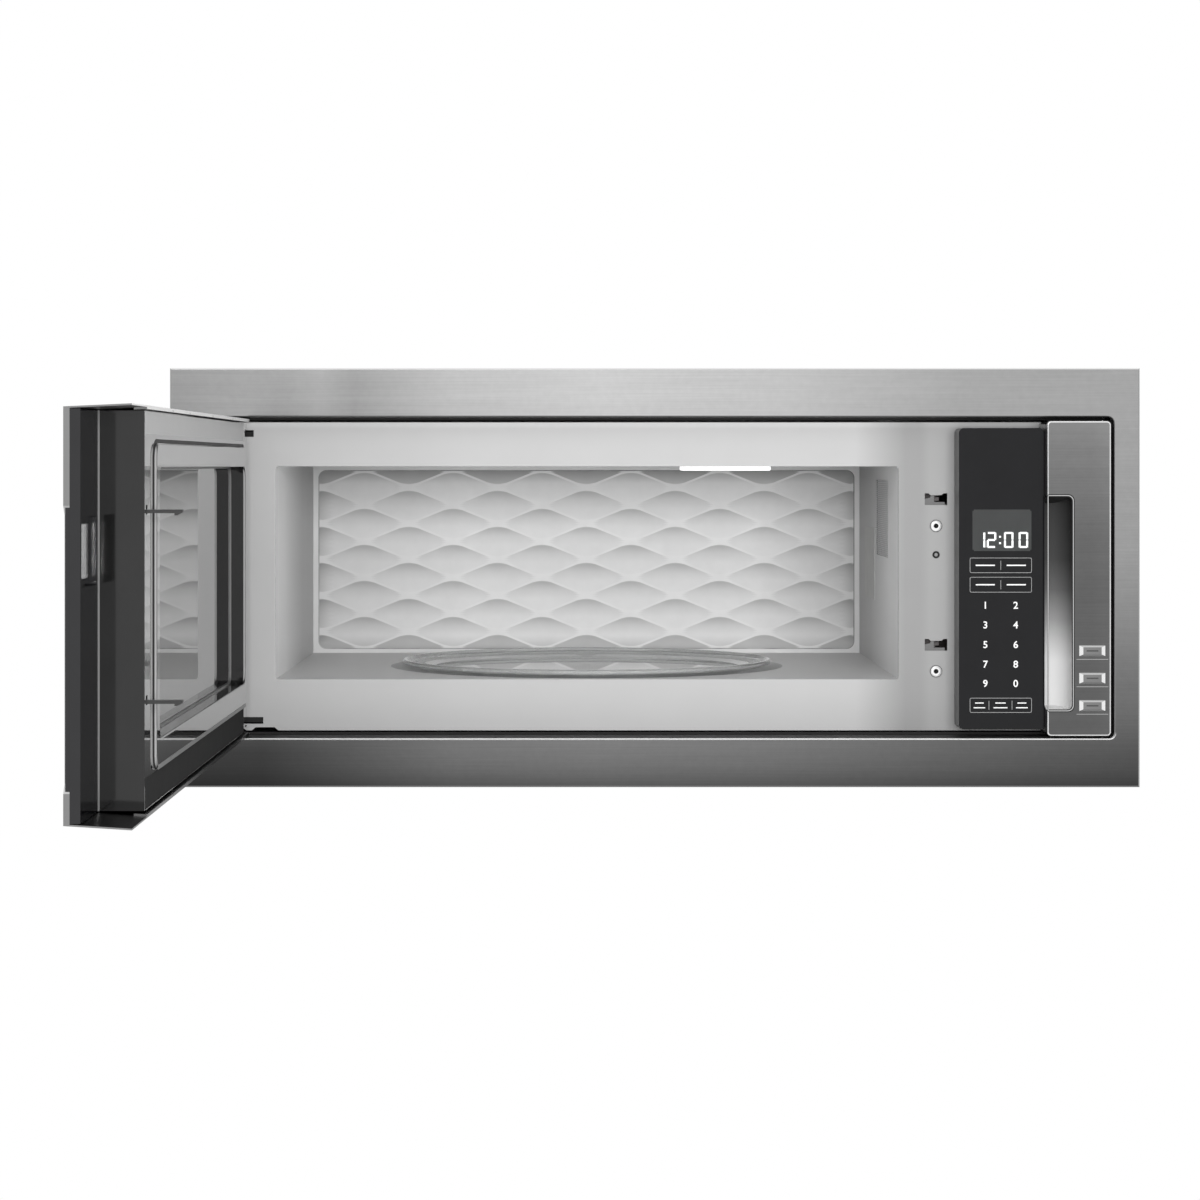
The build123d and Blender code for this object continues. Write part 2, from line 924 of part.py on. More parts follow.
def roller_ring():
    """The plastic ring that spaces the rollers, with a stub axle for each."""
    low = roller_z - ring_height / 2
    ring = rod_z(cavity_x, table_y, low, low + ring_height, ring_r)
    ring -= rod_z(cavity_x, table_y, low, low + ring_height, ring_r - ring_width)
    for k in range(rollers):
        axle = rod_y(0, roller_z, ring_r - 2, roller_track_r + roller_width / 2 + 0.5, axle_r)
        head = rod_y(
            0,
            roller_z,
            roller_track_r + roller_width / 2 + 0.5,
            roller_track_r + roller_width / 2 + 2,
            axle_r + 1.2,
        )
        ring += Pos(cavity_x, table_y, 0) * Rot(0, 0, -90 + 120 * k) * (axle + head)
    return ring


def roller(k):
    """One roller, crowned at its edges, on its stub axle."""
    near = roller_track_r - roller_width / 2
    wheel = rod_y(0, roller_z, near, near + roller_width, roller_r)
    wheel = chamfer(wheel.edges().filter_by(GeomType.CIRCLE), 0.8)
    wheel -= rod_y(0, roller_z, near, near + roller_width, roller_bore_r)
    return Pos(cavity_x, table_y, 0) * Rot(0, 0, -90 + 120 * k) * wheel


# Control panel


def control_bezel():
    """The black housing that stands in front of the front plate."""
    glass_back = bezel_front + keypad_glass_thickness
    shell = panel_y(
        bezel_left, bezel_right, glass_back, plate_front, bezel_bottom, bezel_top, bezel_corner_r
    )
    shell -= block(
        bezel_left + bezel_wall,
        bezel_right - bezel_wall,
        glass_back,
        plate_front,
        bezel_bottom + bezel_wall,
        bezel_top - bezel_wall,
    )
    ledge = bezel_wall + 1.5
    front = glass_back + display_depth
    for left, right in (
        (bezel_left + bezel_wall, bezel_left + ledge),
        (bezel_right - ledge, bezel_right - bezel_wall),
    ):
        shell += block(
            left, right, front, front + 2, bezel_bottom + bezel_wall, bezel_top - bezel_wall
        )
    return shell


def keypad_glass():
    """The black glass face over the keys and the display."""
    return panel_y(
        bezel_left,
        bezel_right,
        bezel_front,
        bezel_front + keypad_glass_thickness,
        bezel_bottom,
        bezel_top,
        bezel_corner_r,
    )


display_x0 = bezel_left + display_left
display_x1 = display_x0 + display_width
display_top = display_bottom + display_height
control_board_y = bezel_front + keypad_glass_thickness + display_depth


def display_module():
    """The lit display behind the glass."""
    front = bezel_front + keypad_glass_thickness
    return block(display_x0, display_x1, front, control_board_y, display_bottom, display_top)


def control_board():
    """The circuit board behind the display, with its relays and parts."""
    left = bezel_left + bezel_wall + 1.5 + 0.3
    right = bezel_right - bezel_wall - 1.5 - 0.3
    low = bezel_bottom + bezel_wall + 6
    high = bezel_top - bezel_wall - 6
    back = control_board_y + board_sheet
    board = block(left, right, control_board_y, back, low, high)
    tall = high - low
    for share in (0.05, 0.17, 0.29):
        z = low + share * tall
        board += block(left + 6, left + 24, back, back + 12, z, z + 16)
    for share in (0.50, 0.64, 0.77):
        board += rod_y(right - 12, low + share * tall, back, back + 10, 5)
    for share in (0.45, 0.57, 0.68, 0.82):
        z = low + share * tall
        board += block(left + 6, left + 22, back, back + 3, z, z + 10)
    return board


# Stainless column


def pocket_section(x_axis, y_axis):
    """A quarter of an ellipse behind the column's face, drawn in X and Y."""
    quarter = Ellipse(x_axis, y_axis) & Pos(x_axis / 2, y_axis / 2) * Rectangle(x_axis, y_axis)
    return Pos(column_left, door_front) * quarter


def right_column():
    """The fixed column: a shallow steel box, open at the back."""
    column = panel_y(
        column_left,
        column_right,
        door_front,
        plate_front,
        column_bottom,
        column_bottom + column_height,
        column_corner_r,
    )
    column = fillet(column.faces().sort_by(Axis.Y)[0].edges(), column_edge_r)
    column -= block(
        column_left + sheet,
        column_right - sheet,
        door_front + sheet,
        plate_front,
        column_bottom + sheet,
        column_bottom + column_height - sheet,
    )
    mouth = panel_y(
        column_left - pocket_width,
        column_left + pocket_width,
        door_front - 1,
        door_front + sheet + 0.5,
        pocket_bottom,
        pocket_top,
        pocket_corner_r,
    )
    side = block(
        column_left - 1,
        column_left + sheet,
        door_front - 1,
        door_front + pocket_depth + sheet,
        pocket_bottom,
        pocket_top,
    )
    cuts = [mouth, side]
    half_x = button_width / 2 + button_play
    half_z = button_height / 2 + button_play
    for z in button_heights:
        cuts.append(
            panel_y(
                button_x - half_x,
                button_x + half_x,
                door_front - 1,
                door_front + sheet + 0.5,
                z - half_z,
                z + half_z,
                1.2,
            )
        )
    return column - cuts


def pocket_space(wall):
    """The scoop's inside, or its outside with a wall: sloped at both ends."""
    section = pocket_section(pocket_width + wall, pocket_depth + wall)
    body = Pos(0, 0, pocket_bottom - wall) * extrude(section, pocket_height + 2 * wall)
    reach = pocket_depth + sheet
    return body & side_prism(
        [
            (door_front, pocket_bottom - wall),
            (door_front + reach, pocket_bottom - wall + pocket_low_slope * reach),
            (door_front + reach, pocket_top + wall - pocket_high_slope * reach),
            (door_front, pocket_top + wall),
        ],
        column_left,
        column_right,
    )


def pocket_liner():
    """The bright scoop that a finger reaches into beside the door."""
    body = pocket_space(sheet) - pocket_space(0)
    face = block(
        column_left - 1,
        column_right,
        door_front - 1,
        door_front + sheet,
        pocket_bottom - 5,
        pocket_top + 5,
    )
    wall = column_left + sheet
    for low, high in ((pocket_bottom - sheet, pocket_bottom), (pocket_top, pocket_top + sheet)):
        face += block(column_left - 1, wall, door_front - 1, plate_front, low, high)
    return body - face


def button(z):
    """A push button: cap, retaining flange and stem."""
    half_x = button_width / 2
    half_z = button_height / 2
    front = door_front - button_proud
    back = front + button_cap
    shoulder = front + button_bevel_depth
    top = half_x - button_bevel_side
    cap = plan(
        [
            (button_x - half_x, back),
            (button_x - half_x, shoulder),
            (button_x - top, front),
            (button_x + top, front),
            (button_x + half_x, shoulder),
            (button_x + half_x, back),
        ],
        z - half_z,
        z + half_z,
    )
    top = half_z - button_bevel_low
    cap &= side_prism(
        [
            (back, z - half_z),
            (shoulder, z - half_z),
            (front, z - top),
            (front, z + top),
            (shoulder, z + half_z),
            (back, z + half_z),
        ],
        button_x - half_x,
        button_x + half_x,
    )
    side = button_play + button_flange_side
    flange = block(
        button_x - half_x - side,
        button_x + half_x + side,
        back - button_flange,
        back,
        z - half_z - side,
        z + half_z + side,
    )
    return cap + flange + rod_y(button_x, z, back, back + button_stem, button_stem_r)


stem_end = door_front - button_proud + button_cap + button_stem
switch_front = stem_end + 0.3


def button_board():
    """The board with one switch behind each button, on two spacers."""
    front = switch_front + button_travel + switch_height
    back = front + board_sheet
    half = button_width / 2 + 1
    low = button_low_z - 9
    high = button_low_z + 2 * button_pitch + 9
    board = block(button_x - half, button_x + half, front, back, low, high)
    for z in button_heights:
        s = switch_size / 2
        board += block(button_x - s, button_x + s, switch_front + button_travel, front, z - s, z + s)
    spacers = []
    for z in (low + 4, high - 4):
        spacers.append(rod_y(button_x, z, back, plate_front, 3))
    return group([board] + spacers)


# Latch switches behind the front plate

bracket_wall = 3.0
hook_x0 = latch_x + hook_offset
hook_x1 = hook_x0 + hook_width
hook_tip = door_back + hook_reach
hook_heights = [z - hook_drop for z in latch_heights]
catch_back = hook_tip - nib_length - catch_play
switch_length = 27.8
switch_depth = 15.9
switch_thick = 10.3
switch_y = hook_tip + 2.5
bracket_x0 = bay_left + 2
bracket_x1 = latch_x + 24


def latch_lever(z):
    """The lug beside and above a hook's path, seen through its slot."""
    left = latch_x - latch_slot_width / 2 - 1
    low = z - latch_slot_height / 2 - 0.5
    high = z + latch_slot_height / 2 + 0.5
    beside = hook_x0 - lever_gap
    return front_prism(
        [
            (left, low),
            (left, z),
            (beside - lever_neck, z + lever_shoulder),
            (beside - lever_neck / 2, high),
            (hook_x1 - lever_gap, high),
            (hook_x0 + lever_neck, z + lever_rise),
            (beside, z + lever_rise),
            (beside, low),
        ],
        plate_back,
        plate_back + lever_sheet,
    )


def interlock_bracket():
    """The plastic bracket behind the latch slots, with catches and shelves."""
    back = plate_back + bracket_wall
    low = latch_lower_z - 32
    high = latch_upper_z + 18
    body = block(bracket_x0, bracket_x1, plate_back, back, low, high)
    half_x = latch_slot_width / 2 + 1
    half_z = latch_slot_height / 2 + 0.5
    for z in latch_heights:
        body -= block(latch_x - half_x, latch_x + half_x, plate_back, back, z - half_z, z + half_z)
        body += latch_lever(z)
    for z, hook_z in zip(latch_heights, hook_heights):
        ledge = hook_z - hook_thickness / 2 - catch_gap
        body += block(hook_x0 - 2, hook_x1 + 2, plate_back, catch_back, z - half_z - 2, ledge)
    for z, count in ((latch_upper_z, 1), (latch_lower_z, 2)):
        shelf = z - switch_thick / 2 - (count - 1) * switch_thick
        body += block(
            bracket_x0, bracket_x1, plate_back, switch_y + switch_depth, shelf - 2.5, shelf
        )
    for z in front_screw_heights:
        body -= rod_y(latch_x, z, plate_back, back, screw_r)
    return body


def door_switches():
    """Three snap-action switches that the hooks press."""
    switches = []
    for z in (latch_upper_z, latch_lower_z, latch_lower_z - switch_thick):
        low = z - switch_thick / 2
        left = bracket_x0 + 1
        body = block(
            left, left + switch_length, switch_y, switch_y + switch_depth, low, low + switch_thick
        )
        nub_x = hook_x0 + hook_width / 2
        body += block(nub_x - 2, nub_x + 2, switch_y - 2.2, switch_y, z - 1.5, z + 1.5)
        switches.append(body)
    return group(switches)


# Hinges


def hinge_bracket(z, up):
    """A steel bracket: a tongue through the front plate with a rounded end."""
    half = tongue_sheet / 2
    low = z - half
    high = z + half
    rear = plate_back + 34
    tongue = rod_z(pivot_x, pivot_y, low, high, tongue_reach)
    tongue += block(pivot_x - tongue_neck, pivot_x + tongue_neck, pivot_y, rear, low, high)
    edge = chassis_x - sheet
    tab_low, tab_high = (z - 26, z - half) if up else (z + half, z + 26)
    tab = block(-edge + 1, cavity_left - 4, plate_back, plate_back + 2.5, tab_low, tab_high)
    foot = block(-edge + 1, cavity_left - 4, plate_back, rear, low, high)
    bore = rod_z(pivot_x, pivot_y, low, high, pin_r)
    return tongue + tab + foot - bore


def hinge_brackets():
    """The upper and lower hinge brackets."""
    return group([hinge_bracket(tongue_upper_z, True), hinge_bracket(tongue_lower_z, False)])


def hinge_pins():
    """The two pins, one down from the upper tongue and one up from the lower."""
    half = tongue_sheet / 2
    upper = rod_z(
        pivot_x, pivot_y, tongue_upper_z - half - pin_length, tongue_upper_z + half, pin_r
    )
    lower = rod_z(
        pivot_x, pivot_y, tongue_lower_z - half, tongue_lower_z + half + pin_length, pin_r
    )
    return group([upper, lower])


# Power bay

guide_right = bay_left + guide_width


def waveguide():
    """The duct from the magnetron to the cavity's side wall."""
    duct = block(
        bay_left,
        guide_right,
        guide_front - sheet,
        guide_rear + sheet,
        guide_low - sheet,
        guide_top + sheet,
    )
    duct -= block(
        bay_left, guide_right - sheet, guide_front, guide_rear, guide_low, guide_top
    )
    antenna_x = guide_right - 40
    z = (guide_low + guide_top) / 2
    return duct - rod_y(antenna_x, z, guide_front - sheet, guide_front, 11)


magnetron_x = guide_right - 40
magnetron_z = (guide_low + guide_top) / 2
magnetron_back = guide_front - sheet
magnetron_front = magnetron_back - magnetron_length


def magnetron():
    """The magnetron: yoke, cooling fins, magnets, filter box and antenna."""
    x0 = magnetron_x - magnetron_width / 2
    x1 = magnetron_x + magnetron_width / 2
    z0 = magnetron_z - magnetron_height / 2
    z1 = magnetron_z + magnetron_height / 2
    body = block(x0, x1, magnetron_back - 2, magnetron_back, z0, z1)
    body += block(x0, x1, magnetron_front, magnetron_front + 2, z0, z1)
    body += block(x0, x1, magnetron_front, magnetron_back, z0, z0 + 2)
    body += block(x0, x1, magnetron_front, magnetron_back, z1 - 2, z1)
    body += rod_y(magnetron_x, magnetron_z, magnetron_front, magnetron_back, 20)
    body += rod_y(magnetron_x, magnetron_z, magnetron_front, magnetron_front + 12, 30)
    body += rod_y(magnetron_x, magnetron_z, magnetron_back - 14, magnetron_back, 30)
    y = magnetron_front + 16
    while y < magnetron_back - 18:
        body += block(x0 + 3, x1 - 3, y, y + 1, z0 + 2, z1 - 2)
        y += fin_gap
    body += block(
        x0 + 12,
        x1 - 12,
        magnetron_front - magnetron_can,
        magnetron_front,
        z0 + 10,
        z1 - 10,
    )
    return body + rod_y(magnetron_x, magnetron_z, magnetron_back, magnetron_back + 24, 8)


def power_transformer():
    """The laminated transformer on the base pan, with its two windings."""
    x = (bay_left + chassis_x - sheet) / 2
    y0 = plate_back + 40
    z0 = sheet
    x0 = x - transformer_width / 2
    x1 = x + transformer_width / 2
    y1 = y0 + transformer_length
    foot = block(x0, x1, y0, y1, z0, z0 + 3)
    core = block(x0 + 6, x1 - 6, y0 + 16, y1 - 16, z0 + 3, z0 + transformer_height)
    middle = (y0 + y1) / 2
    coils = []
    for z in (z0 + 24, z0 + 52):
        coil = block(x0 + 16, x1 - 16, y0 + 2, y1 - 2, z - 11, z + 11)
        coils.append(fillet(coil.edges().filter_by(Axis.Z), 12))
    shape = foot + core + coils
    for side in (-1, 1):
        for end in (-1, 1):
            px = x + side * (transformer_width / 2 - 5)
            py = middle + end * (transformer_length / 2 - 6)
            shape -= rod_z(px, py, z0, z0 + 3, 2.2)
    return shape


def hv_capacitor():
    """The oval capacitor lying on the base pan in its strap."""
    x = (bay_left + chassis_x - sheet) / 2
    y0 = plate_back + 40 + transformer_length + 14
    can = Pos(x - 10, y0, sheet + 18) * Rot(-90, 0, 0) * extrude(
        SlotOverall(58, 34), capacitor_length
    )
    strap = block(x - 48, x + 28, y0 + 38, y0 + 56, sheet, sheet + 2)
    ends = rod_y(x - 22, sheet + 18, y0 - 6, y0, 3) + rod_y(x + 2, sheet + 18, y0 - 6, y0, 3)
    return can + strap + ends


blower_x = bay_left + blower_offset
blower_z = 190.0
blower_y0 = chassis_back - sheet - blower_length - 4
blower_y1 = chassis_back - sheet


def blower_housing():
    """The scroll around the fan wheel, open at the back and blowing down."""
    r = blower_r + blower_play
    outer = rod_y(blower_x, blower_z, blower_y0, blower_y1, r + blower_wall)
    spout_x0 = blower_x - r - blower_wall
    outer += block(spout_x0, blower_x - 4, blower_y0, blower_y1, blower_z - r - 14, blower_z)
    inner = rod_y(blower_x, blower_z, blower_y0 + blower_wall, blower_y1, r)
    inner += block(
        spout_x0 + blower_wall,
        blower_x - 4 - blower_wall,
        blower_y0 + blower_wall,
        blower_y1 - blower_wall,
        blower_z - r - 14,
        blower_z,
    )
    hole = rod_y(blower_x, blower_z, blower_y0, blower_y0 + blower_wall, 16)
    return outer - inner - hole


blower_shaft_r = 2.5
motor_face = blower_y0 + blower_wall


def blower_motor():
    """The motor on the scroll's front wall, with its shaft bore."""
    body = rod_y(blower_x, blower_z, blower_y0 - 30, blower_y0, 30)
    body += rod_y(blower_x, blower_z, blower_y0, motor_face + 4, 16)
    return body - rod_y(
        blower_x, blower_z, blower_y0 - 20, motor_face + 4, blower_shaft_r + spin_play
    )


def blower_wheel():
    """The fan wheel: hub disc, blades, end ring and shaft."""
    front = motor_face + 6
    back = blower_y1 - 6
    wheel = rod_y(blower_x, blower_z, front, front + 2, blower_r)
    ring = rod_y(blower_x, blower_z, back - 2, back, blower_r)
    ring -= rod_y(blower_x, blower_z, back - 2, back, blower_r - 9)
    wheel += ring
    for k in range(blower_blades):
        blade = block(blower_r - 7.5, blower_r - 1.5, front + 1, back - 1, -0.6, 0.6)
        wheel += Pos(blower_x, 0, blower_z) * Rot(0, 360 / blower_blades * k, 0) * blade
    wheel += rod_y(blower_x, blower_z, front, front + 14, 7)
    return wheel + rod_y(blower_x, blower_z, blower_y0 - 18, front, blower_shaft_r)


duct_top = blower_z - blower_r - blower_play - 14


def vent_hood():
    """The hood that leads air to the side vents, open below."""
    y0 = side_vent_y - vent_hood_margin
    y1 = side_vent_y + side_vent_length + vent_hood_margin
    low = side_vent_z - vent_hood_margin
    high = side_vent_z + side_vent_slots * side_vent_pitch + vent_hood_margin
    hood = block(bay_left, bay_left + vent_hood_depth, y0, y1, low, high)
    return hood - block(
        bay_left,
        bay_left + vent_hood_depth - sheet,
        y0 + sheet,
        y1 - sheet,
        low,
        high - sheet,
    )


def air_duct():
    """The duct from the blower towards the magnetron, and the hood on the vents."""
    x0 = blower_x - blower_r - blower_play - blower_wall
    x1 = blower_x - 4
    low = duct_top - 26
    duct = block(x0, x1, blower_y0, blower_y1, low, duct_top)
    duct -= block(
        x0 + blower_wall, x1 - blower_wall, blower_y0, blower_y1 - blower_wall, low + 2, duct_top
    )
    return group([duct, vent_hood()])


def filter_board():
    """The mains filter on the back sheet: choke, capacitor and fuse."""
    x0 = bay_left + 8
    x1 = x0 + filter_width
    back = chassis_back - sheet
    low = filter_bottom
    high = low + filter_height
    board = block(x0, x1, back - 6 - board_sheet, back - 6, low, high)
    front = back - 6 - board_sheet
    board += block(x0 + 8, x0 + 34, front - 18, front, low + 8, low + 32)
    board += block(x0 + 42, x0 + 62, front - 14, front, low + 8, low + 28)
    board += rod_x(front - 3.5, low + 50, x0 + 12, x0 + 56, 4)
    for x in (x0 + filter_post_inset, x1 - filter_post_inset):
        for z in (low + filter_post_inset, high - filter_post_inset):
            board += rod_y(x, z, back - 6, back, 2.5)
    return board


def thermal_cutouts():
    """Two disc cut-outs: one on the cavity's roof and one on the waveguide."""
    roof = rod_z(cavity_x - 60, table_y, cavity_top + sheet, cavity_top + sheet + 9, 8)
    side = rod_z(
        bay_left + 24, (guide_front + guide_rear) / 2, guide_top + sheet, guide_top + sheet + 9, 8
    )
    return group([roof, side])


# Door, drawn closed and then swung open by a right angle


def door_outline(x0, x1, y0, y1, r_front, r_back, z0, z1):
    """A slab with round hinge edges and a square free edge."""
    slab = block(x0, x1, y0, y1, z0, z1)
    hinge = slab.edges().filter_by(Axis.Z).group_by(Axis.X)[0].sort_by(Axis.Y)
    slab = fillet(hinge[0], r_front)
    hinge = slab.edges().filter_by(Axis.Z).filter_by(GeomType.LINE)
    back = [e for e in hinge if abs(e.center().X - x0) < 0.01 and abs(e.center().Y - y1) < 0.01]
    return fillet(back, r_back)


def flared(x0, x1, inset):
    """The wedge between the door's flared upper and lower edges."""
    return side_prism(
        [
            (door_front, door_low_front + inset),
            (door_back, door_low_back + inset),
            (door_back, door_high_back - inset),
            (door_front, door_high_front - inset),
        ],
        x0,
        x1,
    )


def hinge_reliefs():
    """The space that the fixed tongues need inside the door as it turns."""
    reach = tongue_sheet / 2 + relief_margin
    reliefs = []
    for z in (tongue_upper_z, tongue_lower_z):
        reliefs.append(
            block(
                door_left - 1,
                pivot_x + relief_reach,
                pivot_y - relief_reach,
                door_back + 1,
                z - reach,
                z + reach,
            )
        )
    return reliefs


pane_left = door_left + door_pane_left
pane_right = thick_right - door_pane_right
pane_top = door_pane_bottom + door_pane_height
well_left = pivot_x + window_left
well_right = thick_right - window_right
well_top = window_bottom + window_height
glass_face = door_back - window_depth
screen_face = glass_face - pane_glass


def hem_tabs():
    """The edges above and below folded back on themselves, in short tabs."""
    last = thick_right + hem_past_end
    breaks = [pivot_x + a for a in hem_breaks if pivot_x + a < last - hem_depth] + [last]
    tabs = []
    for start, end in zip(breaks, breaks[1:]):
        x0 = start + hem_gap / 2
        x1 = end - hem_gap / 2
        tab = flared(x0, x1, sheet * 0.5) - flared(x0 - 1, x1 + 1, hem)
        tabs.append(tab & block(x0, x1, door_back - hem_depth, door_back, 0, chassis_height))
    return tabs


def door_skin():
    """The stainless outer shell, its edges hemmed above and below."""
    outer = door_outline(
        door_left, door_right, door_front, door_back, door_front_r, door_back_r, 0, chassis_height
    )
    outer &= flared(door_left, door_right, 0)
    inner = door_outline(
        door_left + sheet,
        door_right - sheet,
        door_front + sheet,
        door_back + 5,
        door_front_r - sheet,
        1.0,
        0,
        chassis_height,
    )
    inner &= flared(door_left, door_right, sheet)
    skin = outer - inner
    between_hems = flared(door_left - 1, door_right + 1, sheet)
    hinge_wall = block(door_left - 1, well_left, pivot_y, door_back, 0, chassis_height)
    free_wall = block(
        door_right - sheet - 1,
        door_right + 1,
        door_front + skin_return,
        door_back,
        0,
        chassis_height,
    )
    skin -= [hinge_wall & between_hems, free_wall & between_hems]
    notch = front_prism(
        [
            (door_right + 1, pocket_top + 0.6),
            (door_right, pocket_top + 0.6),
            (door_right - notch_depth, pocket_top + 0.6 - notch_chamfer),
            (door_right - notch_depth, pocket_bottom + notch_chamfer),
            (door_right, pocket_bottom),
            (door_right + 1, pocket_bottom),
        ],
        door_front - 1,
        flap_back,
    )
    pane = panel_y(
        pane_left,
        pane_right,
        door_front - 1,
        door_front + sheet,
        door_pane_bottom,
        pane_top,
        door_pane_r,
    )
    display = display_hole(door_front - 1, door_front + sheet, 0)
    return skin + hem_tabs() - [notch, pane, display] - hinge_reliefs()


def display_hole(y0, y1, margin):
    """The window over the display, with the same place and size as the display."""
    return panel_y(
        display_x0 - margin,
        display_x1 + margin,
        y0,
        y1,
        display_bottom - margin,
        display_top + margin,
        2.0,
    )


pane_back = door_front + sheet + pane_glass


def door_glass():
    """The tinted outer pane behind the skin."""
    return panel_y(
        pane_left - pane_overlap,
        pane_right + pane_overlap,
        door_front + sheet,
        pane_back,
        door_pane_bottom - pane_overlap,
        pane_top + pane_overlap,
        door_pane_r / 2,
    )


choke_x0 = pivot_x + choke_left
choke_x1 = hook_x0 - choke_latch_gap


def choke_frame():
    """The door's inner steel frame: a channel around the window, open at the back."""
    back = door_back - cover_wall - rim_step
    frame = block(choke_x0, choke_x1, pane_back, back, choke_low, choke_high)
    frame -= block(
        choke_x0 + sheet,
        choke_x1 - sheet,
        pane_back + sheet,
        back,
        choke_low + sheet,
        choke_high - sheet,
    )
    ring = block(
        well_left - sheet,
        well_right + sheet,
        pane_back,
        screen_face - screen_sheet,
        window_bottom - sheet,
        well_top + sheet,
    )
    window = block(well_left, well_right, pane_back, back, window_bottom, well_top)
    return frame + ring - window - hinge_reliefs()


def door_screen():
    """The perforated screen across the window."""
    return block(
        well_left - sheet,
        well_right + sheet,
        screen_face - screen_sheet,
        screen_face,
        window_bottom - sheet,
        well_top + sheet,
    )


def inner_glass():
    """The inner window pane at the bottom of the window well."""
    side = cover_wall + 2
    return panel_y(
        well_left - side,
        well_right + side,
        screen_face,
        glass_face,
        window_bottom - side,
        well_top + side,
        window_r + 1,
    )


hook_slot_play = 0.8
latch_bar_back = door_back - rim_step - cover_wall - latch_play
latch_bar_front = latch_bar_back - latch_bar_depth
latch_bar_low = latch_lower_z - latch_bar_end
latch_bar_top = latch_upper_z + latch_bar_end
spring_top = latch_bar_top + spring_length


def choke_cover():
    """The black inner cover: face with a raised rim, window well and end wall."""
    base = door_back - rim_step
    low = door_low_front + sheet + liner_play
    high = door_high_front - sheet - liner_play
    right = thick_right
    outer = door_outline(door_left, right, pivot_y, base, 1.0, door_back_r - rim_step, low, high)
    inner = door_outline(
        door_left + cover_wall,
        right - cover_wall,
        pivot_y - 5,
        base - cover_wall,
        1.0,
        door_back_r - rim_step - cover_wall,
        low - 1,
        high + 1,
    )
    cover = outer - inner
    cover += block(right - cover_wall, right, flap_back, base, low, high)
    rim = panel_y(
        well_left - rim_side,
        well_right + rim_right,
        base - 0.5,
        door_back,
        window_bottom - rim_low,
        well_top + rim_high,
        window_r + 2,
    )
    rim -= panel_y(
        well_left, well_right, base - 1, door_back + 1, window_bottom, well_top, window_r
    )
    cover += fillet(rim.faces().sort_by(Axis.Y)[-1].edges(), rim_edge_r)
    cover += panel_y(
        well_left - cover_wall,
        well_right + cover_wall,
        glass_face,
        base,
        window_bottom - cover_wall,
        well_top + cover_wall,
        window_r,
    )
    cover -= panel_y(
        well_left, well_right, glass_face - 1, door_back + 1, window_bottom, well_top, window_r
    )
    for z in hook_heights:
        half = hook_thickness / 2 + hook_slot_play
        cover -= block(
            hook_x0 - hook_slot_play,
            hook_x1 + hook_slot_play,
            base - cover_wall - 1,
            door_back + 1,
            z - half,
            z + half + latch_travel,
        )
    seat = spring_top
    cover += block(
        hook_x0 - 1, right - cover_wall, latch_bar_front, base - cover_wall, seat, seat + spring_seat
    )
    return cover - hinge_reliefs()


def flap_liner():
    """The black back of the flap that lies over the control panel."""
    low = door_low_front + sheet + liner_play
    high = door_high_front - sheet - liner_play
    front = door_front + sheet
    liner = block(choke_x1 + 3, door_right - sheet, front, flap_back, low, high)
    liner += block(door_right - sheet, door_right, door_front + skin_return, flap_back, low, high)
    liner -= block(choke_x1 + 3, thick_right - cover_wall, flap_back - 3, flap_back, low, high)
    lens = display_hole(front, front + pane_glass, lens_flange)
    recess = display_hole(flap_back - lens_recess, flap_back, lens_recess_side)
    return liner - lens - display_hole(front, flap_back, 0) - recess


def display_window():
    """The clear window in the flap, over the display: a flange and a boss."""
    front = door_front + sheet
    flange = display_hole(front, front + pane_glass, lens_flange)
    return flange + display_hole(front, flap_back - lens_recess, 0)


def hinge_places():
    """For each hinge: the tongue's middle and the way its pin points."""
    return ((tongue_upper_z, -1), (tongue_lower_z, 1))


def hinge_blocks():
    """The two blocks in the door's hinge edge that hold the bushes."""
    blocks = []
    for z, way in hinge_places():
        near = z + way * (tongue_sheet / 2 + bush_gap + bush_flange)
        ends = sorted((near, near + way * block_height))
        body = block(
            pivot_x - 14,
            choke_x0,
            pivot_y - block_half_depth,
            pivot_y + block_half_depth,
            ends[0],
            ends[1],
        )
        bore = rod_z(pivot_x, pivot_y, ends[0], ends[1], pin_r + pin_play + bush_wall)
        blocks.append(body - bore)
    return group(blocks)


def hinge_bushes():
    """The flanged bushes that the pins turn in."""
    bushes = []
    for z, way in hinge_places():
        face = z + way * (tongue_sheet / 2 + bush_gap)
        seat = face + way * bush_flange
        ends = sorted((face, seat))
        bush = rod_z(pivot_x, pivot_y, ends[0], ends[1], bush_flange_r)
        ends = sorted((seat, seat + way * block_height))
        bush += rod_z(pivot_x, pivot_y, ends[0], ends[1], pin_r + pin_play + bush_wall)
        ends = sorted((face, seat + way * block_height))
        bushes.append(bush - rod_z(pivot_x, pivot_y, ends[0], ends[1], pin_r + pin_play))
    return group(bushes)


def latch_slide():
    """The sprung slide in the door's free edge that carries both hooks."""
    half = hook_thickness / 2
    slide = block(hook_x0, hook_x1, latch_bar_front, latch_bar_back, latch_bar_low, latch_bar_top)
    for z in hook_heights:
        nib_back = hook_tip - nib_length
        nib_low = z - half - nib_depth
        arm = side_prism(
            [
                (latch_bar_back, z - half),
                (nib_back, z - half),
                (nib_back, nib_low),
                (nib_back + 1.5, nib_low),
                (hook_tip, z - half + 0.5),
                (hook_tip, z + half),
                (latch_bar_back, z + half),
            ],
            hook_x0,
            hook_x1,
        )
        slide += arm
    return slide


